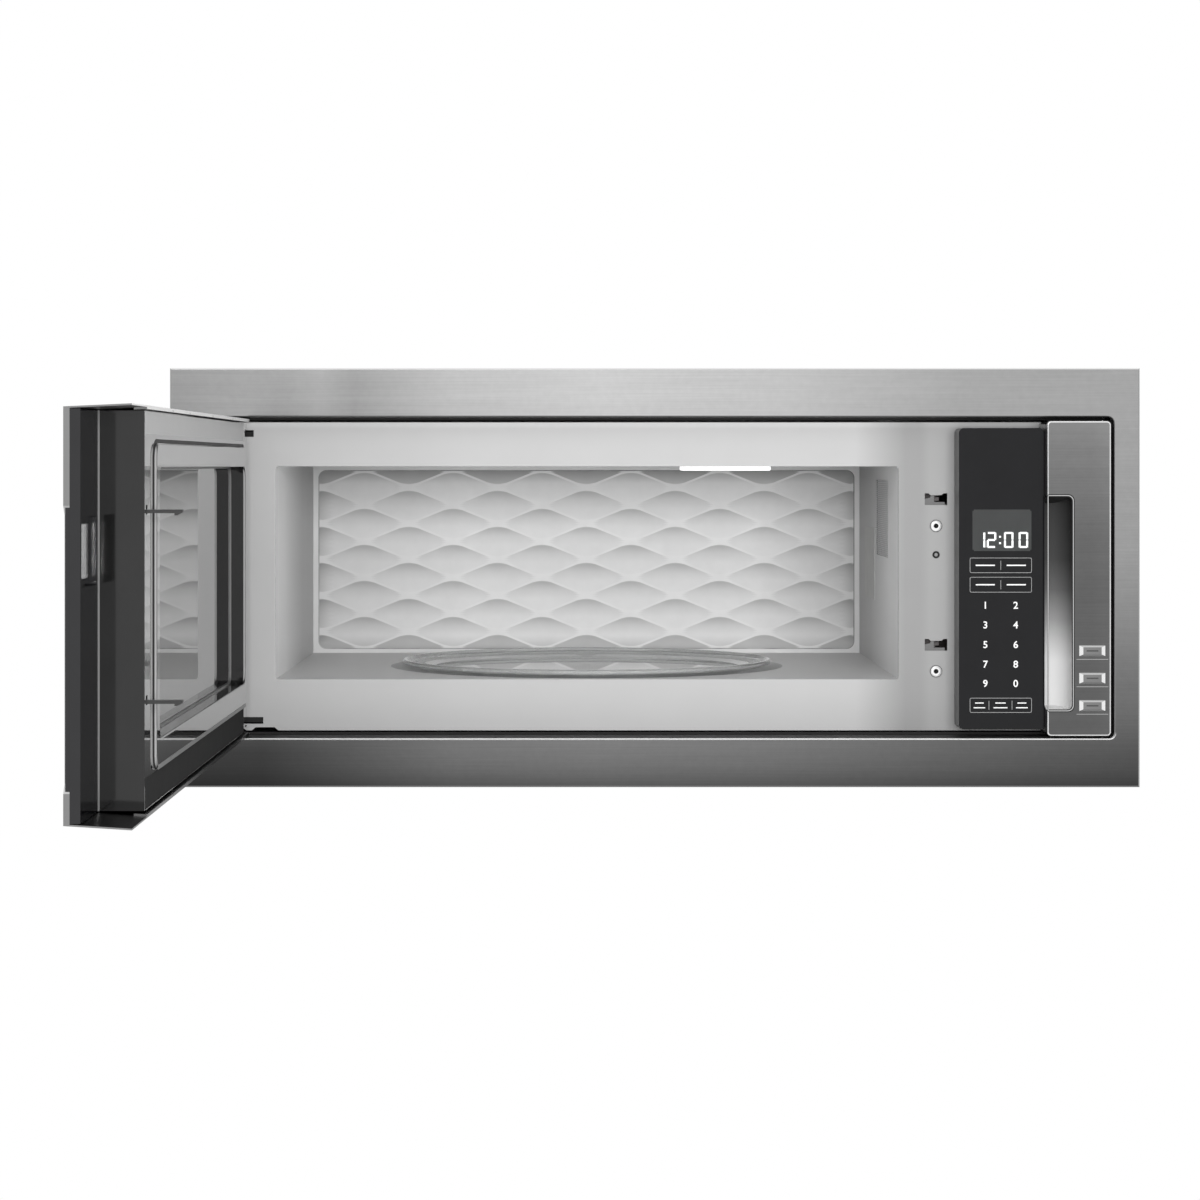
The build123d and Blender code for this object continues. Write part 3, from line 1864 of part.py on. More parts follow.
def latch_spring():
    """The spring between the latch slide's end and its seat in the door."""
    x = (hook_x0 + hook_x1) / 2
    y = (latch_bar_front + latch_bar_back) / 2
    spring = rod_z(x, y, latch_bar_top, spring_top, spring_r)
    return spring - rod_z(x, y, latch_bar_top, spring_top, spring_r - spring_wire)


def swing_open(piece):
    """Turn a door piece about the hinge from closed to open."""
    return Pos(pivot_x, pivot_y, 0) * Rot(0, 0, -90) * Pos(-pivot_x, -pivot_y, 0) * piece


fixed_nodes = {
    "trim_frame": trim_frame(),
    "mounting_frame": mounting_frame(),
    "trim_clips": trim_clips(),
    "base_pan": base_pan(),
    "wrap_cover": wrap_cover(),
    "rear_panel": rear_panel(),
    "power_gland": power_gland(),
    "front_plate": front_plate(),
    "front_screws": front_screws(),
    "cover_screws": cover_screws(),
    "bracket_screws": bracket_screws(),
    "cavity_floor": cavity_floor(),
    "cavity_liner": cavity_liner(),
    "cavity_back": cavity_back(),
    "lamp_lens": lamp_lens(),
    "lamp_holder": lamp_holder(),
    "waveguide_cover": waveguide_cover(),
    "glass_tray": glass_tray(),
    "drive_coupler": drive_coupler(),
    "turntable_motor": turntable_motor(),
    "roller_ring": roller_ring(),
    "control_bezel": control_bezel(),
    "keypad_glass": keypad_glass(),
    "display_module": display_module(),
    "control_board": control_board(),
    "right_column": right_column(),
    "pocket_liner": pocket_liner(),
    "upper_button": button(button_heights[0]),
    "middle_button": button(button_heights[1]),
    "lower_button": button(button_heights[2]),
    "button_board": button_board(),
    "interlock_bracket": interlock_bracket(),
    "door_switches": door_switches(),
    "hinge_brackets": hinge_brackets(),
    "hinge_pins": hinge_pins(),
    "waveguide": waveguide(),
    "magnetron": magnetron(),
    "power_transformer": power_transformer(),
    "hv_capacitor": hv_capacitor(),
    "blower_housing": blower_housing(),
    "blower_motor": blower_motor(),
    "blower_wheel": blower_wheel(),
    "air_duct": air_duct(),
    "filter_board": filter_board(),
    "thermal_cutouts": thermal_cutouts(),
}
for k in range(rollers):
    fixed_nodes[f"roller_{k + 1}"] = roller(k)

door_nodes = {
    "door_skin": door_skin(),
    "door_glass": door_glass(),
    "choke_frame": choke_frame(),
    "door_screen": door_screen(),
    "inner_glass": inner_glass(),
    "choke_cover": choke_cover(),
    "flap_liner": flap_liner(),
    "display_window": display_window(),
    "hinge_blocks": hinge_blocks(),
    "hinge_bushes": hinge_bushes(),
    "latch_slide": latch_slide(),
    "latch_spring": latch_spring(),
}

for name, piece in fixed_nodes.items():
    export_step(piece, f"parts/{name}.step")
for name, piece in door_nodes.items():
    export_step(swing_open(piece), f"parts/{name}.step")
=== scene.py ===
from math import cos, pi, sin

import bmesh
import bpy
from mathutils import Matrix, Vector


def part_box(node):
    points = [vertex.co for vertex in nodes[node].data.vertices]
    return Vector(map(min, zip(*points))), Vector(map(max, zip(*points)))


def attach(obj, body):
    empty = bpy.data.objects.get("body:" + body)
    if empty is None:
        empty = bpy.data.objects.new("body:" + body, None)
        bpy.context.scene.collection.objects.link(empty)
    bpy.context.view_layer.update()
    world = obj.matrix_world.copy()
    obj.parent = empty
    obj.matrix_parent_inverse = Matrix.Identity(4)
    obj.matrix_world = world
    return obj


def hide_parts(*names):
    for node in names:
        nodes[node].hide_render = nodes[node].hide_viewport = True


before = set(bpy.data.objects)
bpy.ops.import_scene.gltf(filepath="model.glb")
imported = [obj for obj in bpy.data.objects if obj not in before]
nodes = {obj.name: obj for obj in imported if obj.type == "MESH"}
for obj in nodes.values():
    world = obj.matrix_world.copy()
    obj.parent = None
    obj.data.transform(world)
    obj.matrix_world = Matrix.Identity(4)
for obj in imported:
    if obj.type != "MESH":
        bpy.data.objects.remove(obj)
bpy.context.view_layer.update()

# Metres, in the CAD frame: X to the right, Y into the cabinet, Z up
MM = 0.001

# Camera, solved from the photograph, with its lens and sensor in millimetres
EYE = Vector((-0.057, -2.462, 0.2135))
LENS = 93.96
SENSOR = 36.0
SHIFT_X = 0.015
SHIFT_Y = -0.1129

# Surroundings
FLOOR_Z = -1.25
FLOOR_SIZE = 30.0
AMBIENT = 0.55


# Shaders


def triple(value):
    """Three equal numbers, or three that are given."""
    return value if isinstance(value, tuple) else (value,) * 3


class Shader:
    """A material's node tree with one Principled shader."""

    def __init__(self, name):
        self.material = bpy.data.materials.new(name)
        self.material.use_nodes = True
        self.tree = self.material.node_tree
        self.shader = self.tree.nodes["Principled BSDF"]
        self.output = self.tree.nodes["Material Output"]

    def node(self, kind, **values):
        made = self.tree.nodes.new(kind)
        for key, value in values.items():
            setattr(made, key, value)
        return made

    def link(self, a, b):
        self.tree.links.new(a, b)

    def set(self, **values):
        for key, value in values.items():
            name = key.replace("_", " ")
            for socket in self.shader.inputs:
                if socket.name.lower() == name.lower():
                    socket.default_value = value
        return self

    def place(self):
        """The object's own coordinates, in metres."""
        return self.node("ShaderNodeTexCoord").outputs["Object"]

    def axis(self, name, source="Object"):
        """One coordinate of the place, or of the surface's normal."""
        made = self.node("ShaderNodeSeparateXYZ")
        self.link(self.node("ShaderNodeTexCoord").outputs[source], made.inputs["Vector"])
        return made.outputs[name]

    def stretched(self, scale):
        """The place, scaled alike on all axes or by a number for each."""
        mapping = self.node("ShaderNodeMapping")
        mapping.inputs["Scale"].default_value = triple(scale)
        self.link(self.place(), mapping.inputs["Vector"])
        return mapping.outputs["Vector"]

    def noise(self, scale, detail=3.0, rough=0.5):
        """Noise from 0 to 1."""
        made = self.node("ShaderNodeTexNoise")
        made.inputs["Scale"].default_value = 1.0
        made.inputs["Detail"].default_value = detail
        made.inputs["Roughness"].default_value = rough
        self.link(self.stretched(scale), made.inputs["Vector"])
        return made.outputs["Fac"]

    def cells(self, scale):
        """A random value for each cell of a Voronoi pattern."""
        made = self.node("ShaderNodeTexVoronoi")
        made.inputs["Scale"].default_value = 1.0
        self.link(self.stretched(scale), made.inputs["Vector"])
        return made.outputs["Color"]

    def ramp(self, factor, stops):
        """A colour ramp through (position, grey or colour) stops."""
        made = self.node("ShaderNodeValToRGB")
        elements = made.color_ramp.elements
        while len(elements) < len(stops):
            elements.new(0.5)
        for element, (position, value) in zip(elements, stops):
            element.position = position
            element.color = (*triple(value), 1.0)
        self.link(factor, made.inputs["Fac"])
        return made.outputs["Color"]

    def along(self, name, stops):
        """A ramp along one coordinate, with its stops in metres."""
        low, high = stops[0][0], stops[-1][0]
        factor = self.span(self.axis(name), low, high)
        return self.ramp(factor, [((at - low) / (high - low), value) for at, value in stops])

    def span(self, value, low, high, to_low=0.0, to_high=1.0):
        """A value carried from one range to another, clamped."""
        made = self.node("ShaderNodeMapRange")
        for key, number in (
            ("From Min", low),
            ("From Max", high),
            ("To Min", to_low),
            ("To Max", to_high),
        ):
            made.inputs[key].default_value = number
        self.link(value, made.inputs["Value"])
        return made.outputs["Result"]

    def feed(self, socket, value):
        """Link a socket to another one, or set it to a number or a colour."""
        if isinstance(value, bpy.types.NodeSocket):
            self.link(value, socket)
        else:
            socket.default_value = value

    def apply(self, operation, value):
        """One value through an operation."""
        made = self.node("ShaderNodeMath", operation=operation)
        self.link(value, made.inputs[0])
        return made.outputs[0]

    def combine(self, operation, *values):
        """Values combined in turn by one operation."""
        total = values[0]
        for value in values[1:]:
            made = self.node("ShaderNodeMath", operation=operation)
            self.feed(made.inputs[0], total)
            self.feed(made.inputs[1], value)
            total = made.outputs[0]
        return total

    def blend(self, factor, a, b, kind="MIX"):
        """Two colours or greys mixed by a factor."""
        made = self.node("ShaderNodeMix", data_type="RGBA", blend_type=kind)
        for key, value in (("Factor", factor), ("A", a), ("B", b)):
            socket = [s for s in made.inputs if s.name == key and s.enabled][0]
            grey = key != "Factor" and isinstance(value, float)
            self.feed(socket, (*triple(value), 1.0) if grey else value)
        return [s for s in made.outputs if s.enabled][0]

    def times(self, a, b):
        """Two colours multiplied."""
        return self.blend(1.0, a, b, "MULTIPLY")

    def colour(self, value):
        self.link(value, self.shader.inputs["Base Color"])
        return self

    def rough(self, value):
        self.link(value, self.shader.inputs["Roughness"])
        return self

    def bump(self, height, strength, distance):
        made = self.node("ShaderNodeBump")
        made.inputs["Strength"].default_value = strength
        made.inputs["Distance"].default_value = distance
        self.link(height, made.inputs["Height"])
        self.link(made.outputs["Normal"], self.shader.inputs["Normal"])
        return self


FINE = 0.05 * MM


def brushed(
    name, scale, tone, grain, rim, side, rough=0.30, edge="Y", flat=(0.93, 0.985), shade=None, metal=None
):
    """Brushed steel: a painted tone of light and shade on its face, and painted highlights and shade by the
    normal's Z on its rolled rim and its sides.

    The scale gives the run of the grain, and edge is the axis that the face looks along.
    """
    made = Shader(name).set(metallic=1.0)
    fine = made.noise(scale, 2.0, 0.6)
    broad = made.noise(tuple(s * 0.12 for s in scale), 2.0, 0.5)
    mottle = made.noise(160.0, 3.0, 0.6)
    weights = ((fine, 0.45), (broad, 0.25), (mottle, 0.30))
    lines = made.combine("ADD", *(made.combine("MULTIPLY", *pair) for pair in weights))
    base = made.times(tone(made), made.ramp(lines, [(0.3, 1 - grain), (0.7, 1.0)]))
    turned = made.apply("ABSOLUTE", made.axis(edge, "Normal"))
    upward = made.span(made.axis("Z", "Normal"), -1.0, 1.0)
    edges = made.blend(made.span(turned, 0.25, 0.35), made.ramp(upward, side), made.ramp(upward, rim))
    whole = made.blend(made.span(turned, *flat), edges, base)
    made.colour(made.times(whole, shade(made)) if shade else whole)
    if metal:
        made.link(metal(made), made.shader.inputs["Metallic"])
    made.rough(made.span(lines, 0.2, 0.8, rough - 0.04, rough + 0.06))
    made.bump(fine, 0.12, FINE)
    return made.material


def plain(name, colour, rough, metallic=0.0, spot=0.06, scale=60.0, bump=0.1, tone=None, **more):
    """A moulded, painted or plated surface with slight mottling."""
    made = Shader(name).set(metallic=metallic, **more)
    mottle = made.noise(scale, 4.0)
    dark, light = (tuple(min(1.0, c * k) for c in triple(colour)) for k in (1 - spot, 1 + spot))
    base = made.ramp(mottle, [(0.3, dark), (0.7, light)])
    made.colour(made.times(base, tone(made)) if tone else base)
    made.rough(made.span(mottle, 0.2, 0.8, rough * 0.9, rough * 1.1))
    made.bump(made.noise(scale * 20, 2.0), bump, FINE)
    return made.material


def glass(name, colour, rough=0.0, ior=1.45, spot=0.02, clear=1.0, **more):
    """Glass with the faintest swirl in its tint."""
    made = Shader(name).set(transmission_weight=clear, roughness=rough, ior=ior, **more)
    light = tuple(min(1.0, c * (1 + spot)) for c in triple(colour))
    made.colour(made.ramp(made.noise(40.0, 1.0), [(0.3, colour), (0.7, light)]))
    return made.material


def give(name, material):
    """Give a CAD node its material."""
    slots = nodes[name].material_slots
    if not slots:
        nodes[name].data.materials.append(material)
    for slot in slots:
        slot.material = material


# Painted light and shade, in linear grey, each along the object's own axes

TRIM_ROWS = (
    (-0.039, 0.112), (-0.022, 0.195), (-0.005, 0.235), (0.012, 0.248),
    (0.045, 0.30), (0.092, 0.44), (0.146, 0.57), (0.289, 0.66),
)
TRIM_ABOVE = (
    (-0.379, 0.52), (-0.290, 0.60), (-0.262, 0.70), (-0.235, 0.60), (-0.16, 0.86),
    (-0.043, 1.0), (0.10, 0.92), (0.24, 0.68), (0.379, 0.66),
)
TRIM_BELOW = (
    (-0.379, 0.26), (-0.307, 0.28), (-0.262, 0.45), (-0.16, 0.88),
    (-0.043, 1.0), (0.09, 0.90), (0.30, 0.56), (0.379, 0.48),
)
PLATE_ACROSS = (
    (-0.36, 0.85), (-0.30, 0.86), (-0.15, 0.99), (0.0, 1.0), (0.16, 0.98),
    (0.20, 0.60), (0.212, 0.61), (0.22, 0.70), (0.36, 0.68),
)


def trim_tone(made):
    """Painted reflection on the trim: pale above, grey at its sides and dark below."""
    above = made.span(made.axis("Z"), -0.012, 0.02)
    across = made.blend(above, made.along("X", TRIM_BELOW), made.along("X", TRIM_ABOVE))
    return made.times(made.along("Z", TRIM_ROWS), across)


def column_tone(made):
    """Painted shade on the column's face, darker towards its foot."""
    rows = made.along("Z", [(0.0, 0.15), (0.123, 0.165), (0.155, 0.186), (0.209, 0.25), (0.248, 0.32)])
    return made.times(rows, made.along("X", [(0.30, 0.88), (0.341, 0.90), (0.354, 0.98)]))


def pocket_tone(made):
    """Painted shade in the scoop, dark at its top and bright at its foot."""
    stops = [(0.021, 0.74), (0.06, 0.68), (0.092, 0.28), (0.115, 0.11), (0.139, 0.045), (0.189, 0.02)]
    return made.along("Z", stops)


def button_tone(made):
    """Painted shade on the buttons' faces, darker to the right."""
    return made.along("X", [(0.330, 0.26), (0.352, 0.23)])


def door_tone(made):
    """Painted reflection on the door's front and its hems: bright above and dark below, with a painted
    highlight on the upper hems' noses.
    """
    front = made.along("Z", [(0.0, 0.42), (0.25, 0.52)])
    hem = made.along("Z", [(0.0, 0.02), (0.02, 0.02), (0.03, 0.40), (0.235, 0.50), (0.242, 1.0), (0.25, 1.0)])
    return made.blend(made.span(made.axis("X", "Normal"), 0.0, 0.5), front, hem)


def door_side(made):
    """Shade for the lower flange behind the door's front, but not for its sheet's own edge."""
    low = made.span(made.axis("Z"), 0.03, 0.02)
    behind = made.span(made.axis("X"), -0.352, -0.348)
    above = made.span(made.axis("Z", "Normal"), -0.6, -0.2)
    upward = made.span(made.axis("Z", "Normal"), 0.3, 0.6)
    raised = made.span(made.axis("Z"), 0.0035, 0.0045)
    inner = made.combine("MAXIMUM", upward, raised)
    return made.blend(made.combine("MULTIPLY", low, behind, above, inner), 1.0, 0.03)


def door_metal(made):
    """Metal everywhere but on the upper hems' noses, which carry a painted highlight."""
    high = made.span(made.axis("Z"), 0.2425, 0.2435)
    inward = made.span(made.axis("X", "Normal"), 0.3, 0.6)
    return made.blend(made.combine("MULTIPLY", high, inward), 1.0, 0.0)


def wall_tone(made):
    """Painted shade on the pressed wall: the shade of its dishes, kept on its vertices, deeper to the left
    and towards its foot.
    """
    painted_relief_shade = made.node("ShaderNodeAttribute", attribute_name="painted_relief_shade").outputs["Fac"]
    across = made.along("X", [(-0.30, 0.78), (-0.26, 0.84), (-0.16, 1.0), (0.15, 1.0)])
    rows = made.along("Z", [(0.043, 0.84), (0.12, 0.88), (0.20, 1.0)])
    return made.times(made.times(painted_relief_shade, across), rows)


def liner_tone(made):
    """Painted shade on the cavity's walls, paler towards the mouth."""
    return made.along("Y", [(0.02, 0.96), (0.10, 0.93), (0.26, 0.56), (0.38, 0.50)])


def plate_tone(made):
    """Painted light and shade on the front plate: a slow change from its middle to both ends, and a pale band
    along its top.
    """
    rows = made.along("Z", [(0.0, 0.92), (0.12, 0.94), (0.22, 1.0), (0.242, 1.05), (0.247, 1.35)])
    return made.times(made.along("X", PLATE_ACROSS), rows)


# Materials; the grain of brushed steel is coarse along its run and fine across it

ALONG_X = (11.0, 850.0, 850.0)
ALONG_Y = (850.0, 11.0, 850.0)
WHITE = (1.0, 1.0, 1.0, 1.0)

trim_steel = brushed(
    "trim_steel",
    ALONG_X,
    trim_tone,
    grain=0.17,
    rim=[(0.0, 0.10), (0.5, 0.34), (1.0, 1.0)],
    side=[(0.0, 0.12), (0.5, 0.28), (1.0, 0.5)],
)
column_steel = brushed(
    "column_steel",
    ALONG_X,
    column_tone,
    grain=0.17,
    rim=[(0.0, 0.85), (1.0, 1.0)],
    side=[(0.0, 0.30), (1.0, 0.5)],
)
button_steel = brushed(
    "button_steel",
    ALONG_X,
    button_tone,
    grain=0.04,
    rim=[(0.36, 0.20), (0.45, 0.85), (0.55, 0.85), (0.64, 0.55)],
    side=[(0.0, 0.3), (1.0, 0.9)],
    rough=0.20,
    flat=(0.962, 0.985),
)
door_steel = brushed(
    "door_steel",
    ALONG_Y,
    door_tone,
    grain=0.05,
    rim=[(0.0, 0.45), (0.5, 0.35), (1.0, 0.9)],
    side=[(0.0, 0.60), (0.5, 0.28), (1.0, 0.75)],
    edge="X",
    shade=door_side,
    metal=door_metal,
)
pocket_steel = plain("bright_steel", 1.0, 0.45, 0.35, spot=0.02, tone=pocket_tone)
painted_highlight_steel = plain("painted_highlight_steel", 0.58, 0.18, 1.0, spot=0.03)
satin_steel = plain("satin_steel", 0.57, 0.45, 0.5, spot=0.03)
bar_steel = plain("bar_steel", 0.22, 0.40, 0.5, spot=0.03)
strip_steel = plain("strip_steel", 0.34, 0.35, 0.6, spot=0.03)
motor_steel = plain("motor_steel", (0.45, 0.46, 0.47), 0.35, 1.0)
core_steel = plain("core_steel", (0.18, 0.16, 0.15), 0.6, 0.5, spot=0.2, scale=200.0)
aluminium = plain("aluminium_can", 0.7, 0.3, 1.0)
zinc = plain("zinc_screw", (0.72, 0.72, 0.70), 0.25, 1.0)
screw_grey = plain("screw_grey", 0.30, 0.40, 0.3)

enamel = plain("grey_enamel", 0.66, 0.40, spot=0.015, scale=30.0)
guard_enamel = plain("guard_enamel", 0.97, 0.60, spot=0.05)
groove_shade_enamel = plain("groove_shade_enamel", 0.36, 0.40, spot=0.30)
wall_enamel = plain("wall_enamel", 0.96, 0.40, spot=0.02, scale=90.0, tone=wall_tone)
liner_enamel = plain("liner_enamel", 0.92, 0.40, spot=0.015, scale=30.0, tone=liner_tone)
plate_enamel = plain("plate_enamel", 0.53, 0.42, spot=0.012, scale=30.0, tone=plate_tone)
painted_lip_highlight = plain("painted_lip_highlight", 0.66, 0.40, spot=0.03)

deep_black = plain("deep_black", 0.03, 0.8, specular_ior_level=0.02)
gloss_black = plain("black_plastic", (0.008, 0.008, 0.009), 0.10, bump=0.02)
matte_black = plain("matte_black", 0.02, 0.5, specular_ior_level=0.2)
pale_plastic = plain("pale_plastic", (0.6, 0.6, 0.58), 0.4)
hook_plastic = plain("hook_plastic", 0.025, 0.30)
bracket_grey = plain("bracket_grey", 0.16, 0.40)
switch_plastic = plain("switch_plastic", (0.16, 0.15, 0.15), 0.45)
mica = plain("mica", (0.58, 0.58, 0.57), 0.6)
board_green = plain("circuit_board", (0.05, 0.16, 0.07), 0.4, spot=0.3, scale=300.0)
lamp_lens = plain("lamp_plastic", 0.92, 0.2, emission_strength=0.9, emission_color=WHITE)

black_glass = plain("black_glass", (0.008, 0.008, 0.009), 0.06, bump=0.01, specular_ior_level=0.22)
display_dark = plain("display", (0.046, 0.048, 0.048), 0.12, specular_ior_level=0.22)
clear_glass = glass("clear_glass", (0.97, 0.98, 0.975), clear=0.82)
tinted_glass = glass("tinted_glass", (0.25, 0.25, 0.26), 0.02, coat_weight=0.6, coat_roughness=0.02)
lens_glass = glass("display_lens", 0.8, 0.05)

ink = plain("pale_ink", 0.85, 0.5, spot=0.04, scale=400.0)
line_ink = plain("line_ink", 0.34, 0.5, spot=0.04, scale=400.0)
dark_ink = plain("dark_ink", 0.05, 0.5, spot=0.1, scale=400.0)
lit_ink = plain(
    "lit_ink", (0.85, 0.87, 0.87), 0.5, spot=0.03, scale=400.0, emission_strength=0.25, emission_color=WHITE
)


def galvanised():
    """Zinc-coated sheet, with a grey of its own for each crystal."""
    made = Shader("galvanised").set(metallic=1.0)
    made.colour(made.ramp(made.cells(70.0), [(0.1, (0.47, 0.48, 0.49)), (0.9, (0.60, 0.61, 0.62))]))
    made.rough(made.span(made.noise(50.0), 0.3, 0.7, 0.34, 0.48))
    return made.material


def cover_gloss():
    """Glossy black plastic, clear-coated on the side with the window, with a painted highlight on its raised
    edge.
    """
    made = Shader("cover_plastic").set(coat_roughness=0.02, coat_ior=1.5)
    mottle = made.noise(40.0, 3.0)
    step = made.along("X", [(-0.3207, 0.0), (-0.3205, 1.0)])
    forward = made.span(made.axis("Y", "Normal"), -0.5, -0.8)
    edge_highlight = made.combine("MULTIPLY", step, forward)
    made.colour(made.blend(edge_highlight, made.ramp(mottle, [(0.3, 0.008), (0.7, 0.010)]), 0.30))
    made.rough(made.span(mottle, 0.2, 0.8, 0.05, 0.08))
    made.link(made.span(made.axis("X", "Normal"), 0.80, 0.95), made.shader.inputs["Coat Weight"])
    return made.material


def bezel_plastic():
    """Black plastic with a painted highlight that makes its left flank paler."""
    made = Shader("bezel_plastic").set(specular_ior_level=0.4)
    flank = made.span(made.axis("X", "Normal"), -0.3, -0.8)
    mottle = made.noise(60.0, 3.0)
    made.colour(made.blend(flank, made.ramp(mottle, [(0.3, 0.010), (0.7, 0.012)]), 0.06))
    made.rough(made.span(mottle, 0.2, 0.8, 0.28, 0.34))
    return made.material


HOLE_PITCH = 2.1 * MM


def perforated():
    """A black sheet with rows of fine holes."""
    made = Shader("screen_steel").set(metallic=0.3)
    angles = (made.combine("MULTIPLY", made.axis(axis), 2 * pi / HOLE_PITCH) for axis in "YZ")
    waves = [made.apply("SINE", angle) for angle in angles]
    holes = made.span(made.combine("MULTIPLY", *waves), -0.2, 0.6)
    made.colour(made.ramp(holes, [(0.0, 0.035), (1.0, 0.004)]))
    made.rough(made.span(holes, 0.0, 1.0, 0.35, 0.7))
    return made.material


FINISH = {
    galvanised(): tuple(nodes),
    trim_steel: ("trim_frame",),
    door_steel: ("door_skin",),
    column_steel: ("right_column",),
    pocket_steel: ("pocket_liner",),
    button_steel: ("upper_button", "middle_button", "lower_button"),
    plate_enamel: ("front_plate",),
    enamel: ("cavity_floor",),
    liner_enamel: ("cavity_liner",),
    wall_enamel: ("cavity_back",),
    zinc: ("front_screws", "cover_screws", "bracket_screws"),
    cover_gloss(): ("choke_cover",),
    gloss_black: ("flap_liner",),
    bezel_plastic(): ("control_bezel",),
    matte_black: (
        "mounting_frame",
        "blower_housing",
        "blower_wheel",
        "air_duct",
        "power_gland",
        "drive_coupler",
        "hinge_brackets",
    ),
    bracket_grey: ("interlock_bracket",),
    pale_plastic: (
        "roller_ring",
        "roller_1",
        "roller_2",
        "roller_3",
        "hinge_bushes",
    ),
    hook_plastic: ("latch_slide",),
    switch_plastic: ("door_switches", "thermal_cutouts"),
    black_glass: ("keypad_glass",),
    tinted_glass: ("door_glass", "inner_glass"),
    clear_glass: ("glass_tray",),
    display_dark: ("display_module",),
    lens_glass: ("display_window",),
    board_green: ("control_board", "button_board", "filter_board"),
    lamp_lens: ("lamp_lens",),
    aluminium: ("lamp_holder", "hv_capacitor"),
    perforated(): ("door_screen",),
    mica: ("waveguide_cover",),
    motor_steel: ("turntable_motor", "blower_motor", "magnetron"),
    core_steel: ("power_transformer",),
}
for material, names in FINISH.items():
    for name in names:
        give(name, material)


# Pieces

INK = 0.08 * MM


def make_piece(name, mesh, material, body, smooth=False):
    """A new piece from a bmesh, riding on a CAD body; with smooth=None its faces stay as they are."""
    data = bpy.data.meshes.new(name)
    mesh.to_mesh(data)
    mesh.free()
    if smooth is not None:
        for face in data.polygons:
            face.use_smooth = smooth
    piece = bpy.data.objects.new(name, data)
    bpy.context.scene.collection.objects.link(piece)
    data.materials.append(material)
    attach(piece, body)
    return piece


def add_box(mesh, low, high):
    """A box between two corners."""
    size = Vector(high) - Vector(low)
    middle = (Vector(high) + Vector(low)) / 2
    for vertex in bmesh.ops.create_cube(mesh, size=1.0)["verts"]:
        vertex.co = Vector([c * s for c, s in zip(vertex.co, size)]) + middle


def add_flat(mesh, x0, x1, z0, z1, face):
    """A box as thin as ink that stands out to the front from a face."""
    add_box(mesh, (x0, face - INK, z0), (x1, face, z1))


def add_lathe(mesh, profile, centre, steps=48):
    """A closed solid from a profile of (radius, depth) pairs, turned about Y."""
    rings = []
    for radius, depth in profile:
        angles = (2 * pi * k / steps for k in range(steps))
        places = [(radius * cos(angle), depth, radius * sin(angle)) for angle in angles]
        rings.append([mesh.verts.new([c + p for c, p in zip(centre, place)]) for place in places])
    for a, b in zip(rings, rings[1:]):
        for k in range(steps):
            mesh.faces.new((a[k], a[(k + 1) % steps], b[(k + 1) % steps], b[k]))
    mesh.faces.new(rings[0])
    mesh.faces.new(rings[-1][::-1])
    bmesh.ops.recalc_face_normals(mesh, faces=mesh.faces[:])


def round_path(x0, x1, z0, z1, radius, steps=5):
    """Points round a rectangle with rounded corners; one radius, or one for each corner."""
    radii = radius if isinstance(radius, tuple) else (radius,) * 4
    corners = ((x1, z0, -1, 1, -pi / 2), (x1, z1, -1, -1, 0.0), (x0, z1, 1, -1, pi / 2), (x0, z0, 1, 1, pi))
    points = []
    for r, (x, z, side_x, side_z, start) in zip(radii, corners):
        for k in range(steps + 1):
            angle = start + k * pi / 2 / steps
            points.append((x + side_x * r + r * cos(angle), z + side_z * r + r * sin(angle)))
    return points


def add_ring(mesh, outer, inner, low, high, place):
    """A flat closed ring between two paths, with its thickness from low to high."""
    count = len(outer)
    rings = []
    for path in (outer, inner):
        for level in (low, high):
            rings.append([mesh.verts.new(place(a, b, level)) for a, b in path])
    for k in range(count):
        j = (k + 1) % count
        for a, b in ((0, 1), (1, 3), (3, 2), (2, 0)):
            mesh.faces.new((rings[a][k], rings[a][j], rings[b][j], rings[b][k]))
    bmesh.ops.recalc_face_normals(mesh, faces=mesh.faces[:])


def on_front(x, z, level):
    """A place on a face towards the front, where level is its Y."""
    return (x, level, z)


def on_door(y, z, level):
    """A place on the open door's inner face, where level is its X."""
    return (level, y, z)


# The cavity's back wall, with its diamonds as smooth dishes in a rounded field

WALL_LOW, WALL_HIGH = (Vector(corner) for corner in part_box("cavity_back"))
WALL_MIDDLE = (WALL_LOW + WALL_HIGH) / 2
FIELD_SIDE = 5.5 * MM
FIELD_TOP = 4.4 * MM
FIELD_R = 7.2 * MM
FIELD_FACETS = 6
HALF_X = (WALL_HIGH.x - WALL_LOW.x) / 2 - FIELD_SIDE
HALF_Z = (WALL_HIGH.z - WALL_LOW.z) / 2 - FIELD_TOP

# One diamond, and its dish's depth, share of the cell, squareness, steepness, tilt and growth upwards
CELL_X = 80.4 * MM
CELL_Z = 32.6 * MM
DISH_DEPTH = 2.6 * MM
DISH_SHARE = 0.96
DISH_SQUARE = 4.8
DISH_WALL = 1.6
DISH_TILT = 1.08
DISH_GROWTH = 1.2
MARKS = (-1.0, -0.96, -0.92, -0.84, -0.70, -0.50, -0.25, 0.0, 0.25, 0.50, 0.70, 0.84, 0.92, 0.96)

# Shade in a dish from its lower corner up, on the ridges, near the border and in the top rows
DISH_SHADE = ((0.0, 0.97), (0.42, 0.92), (0.66, 0.80), (0.86, 0.60), (1.0, 0.50))
RIDGE_SHADE = 0.985
BORDER_SHADE = 0.30
BORDER_REACH = 12.0 * MM
CUT_SHADE = 0.70
TOP_ROW = 0.6
TOP_FADE = 0.5


def outward(p, q):
    """How far out a place in a cell is, with 1 at its dish's edge; p and q run from -1 to 1."""
    return (abs(p) ** DISH_SQUARE + abs(q) ** DISH_SQUARE) ** (1 / DISH_SQUARE) / DISH_SHARE


def dish(p, q):
    """The depth at a place in a cell."""
    edge = outward(p, q)
    if edge >= 1:
        return 0.0
    upward = (p - q) / 2
    return DISH_DEPTH * (1 - edge**DISH_WALL) * ((DISH_TILT + upward) / 2) ** DISH_GROWTH


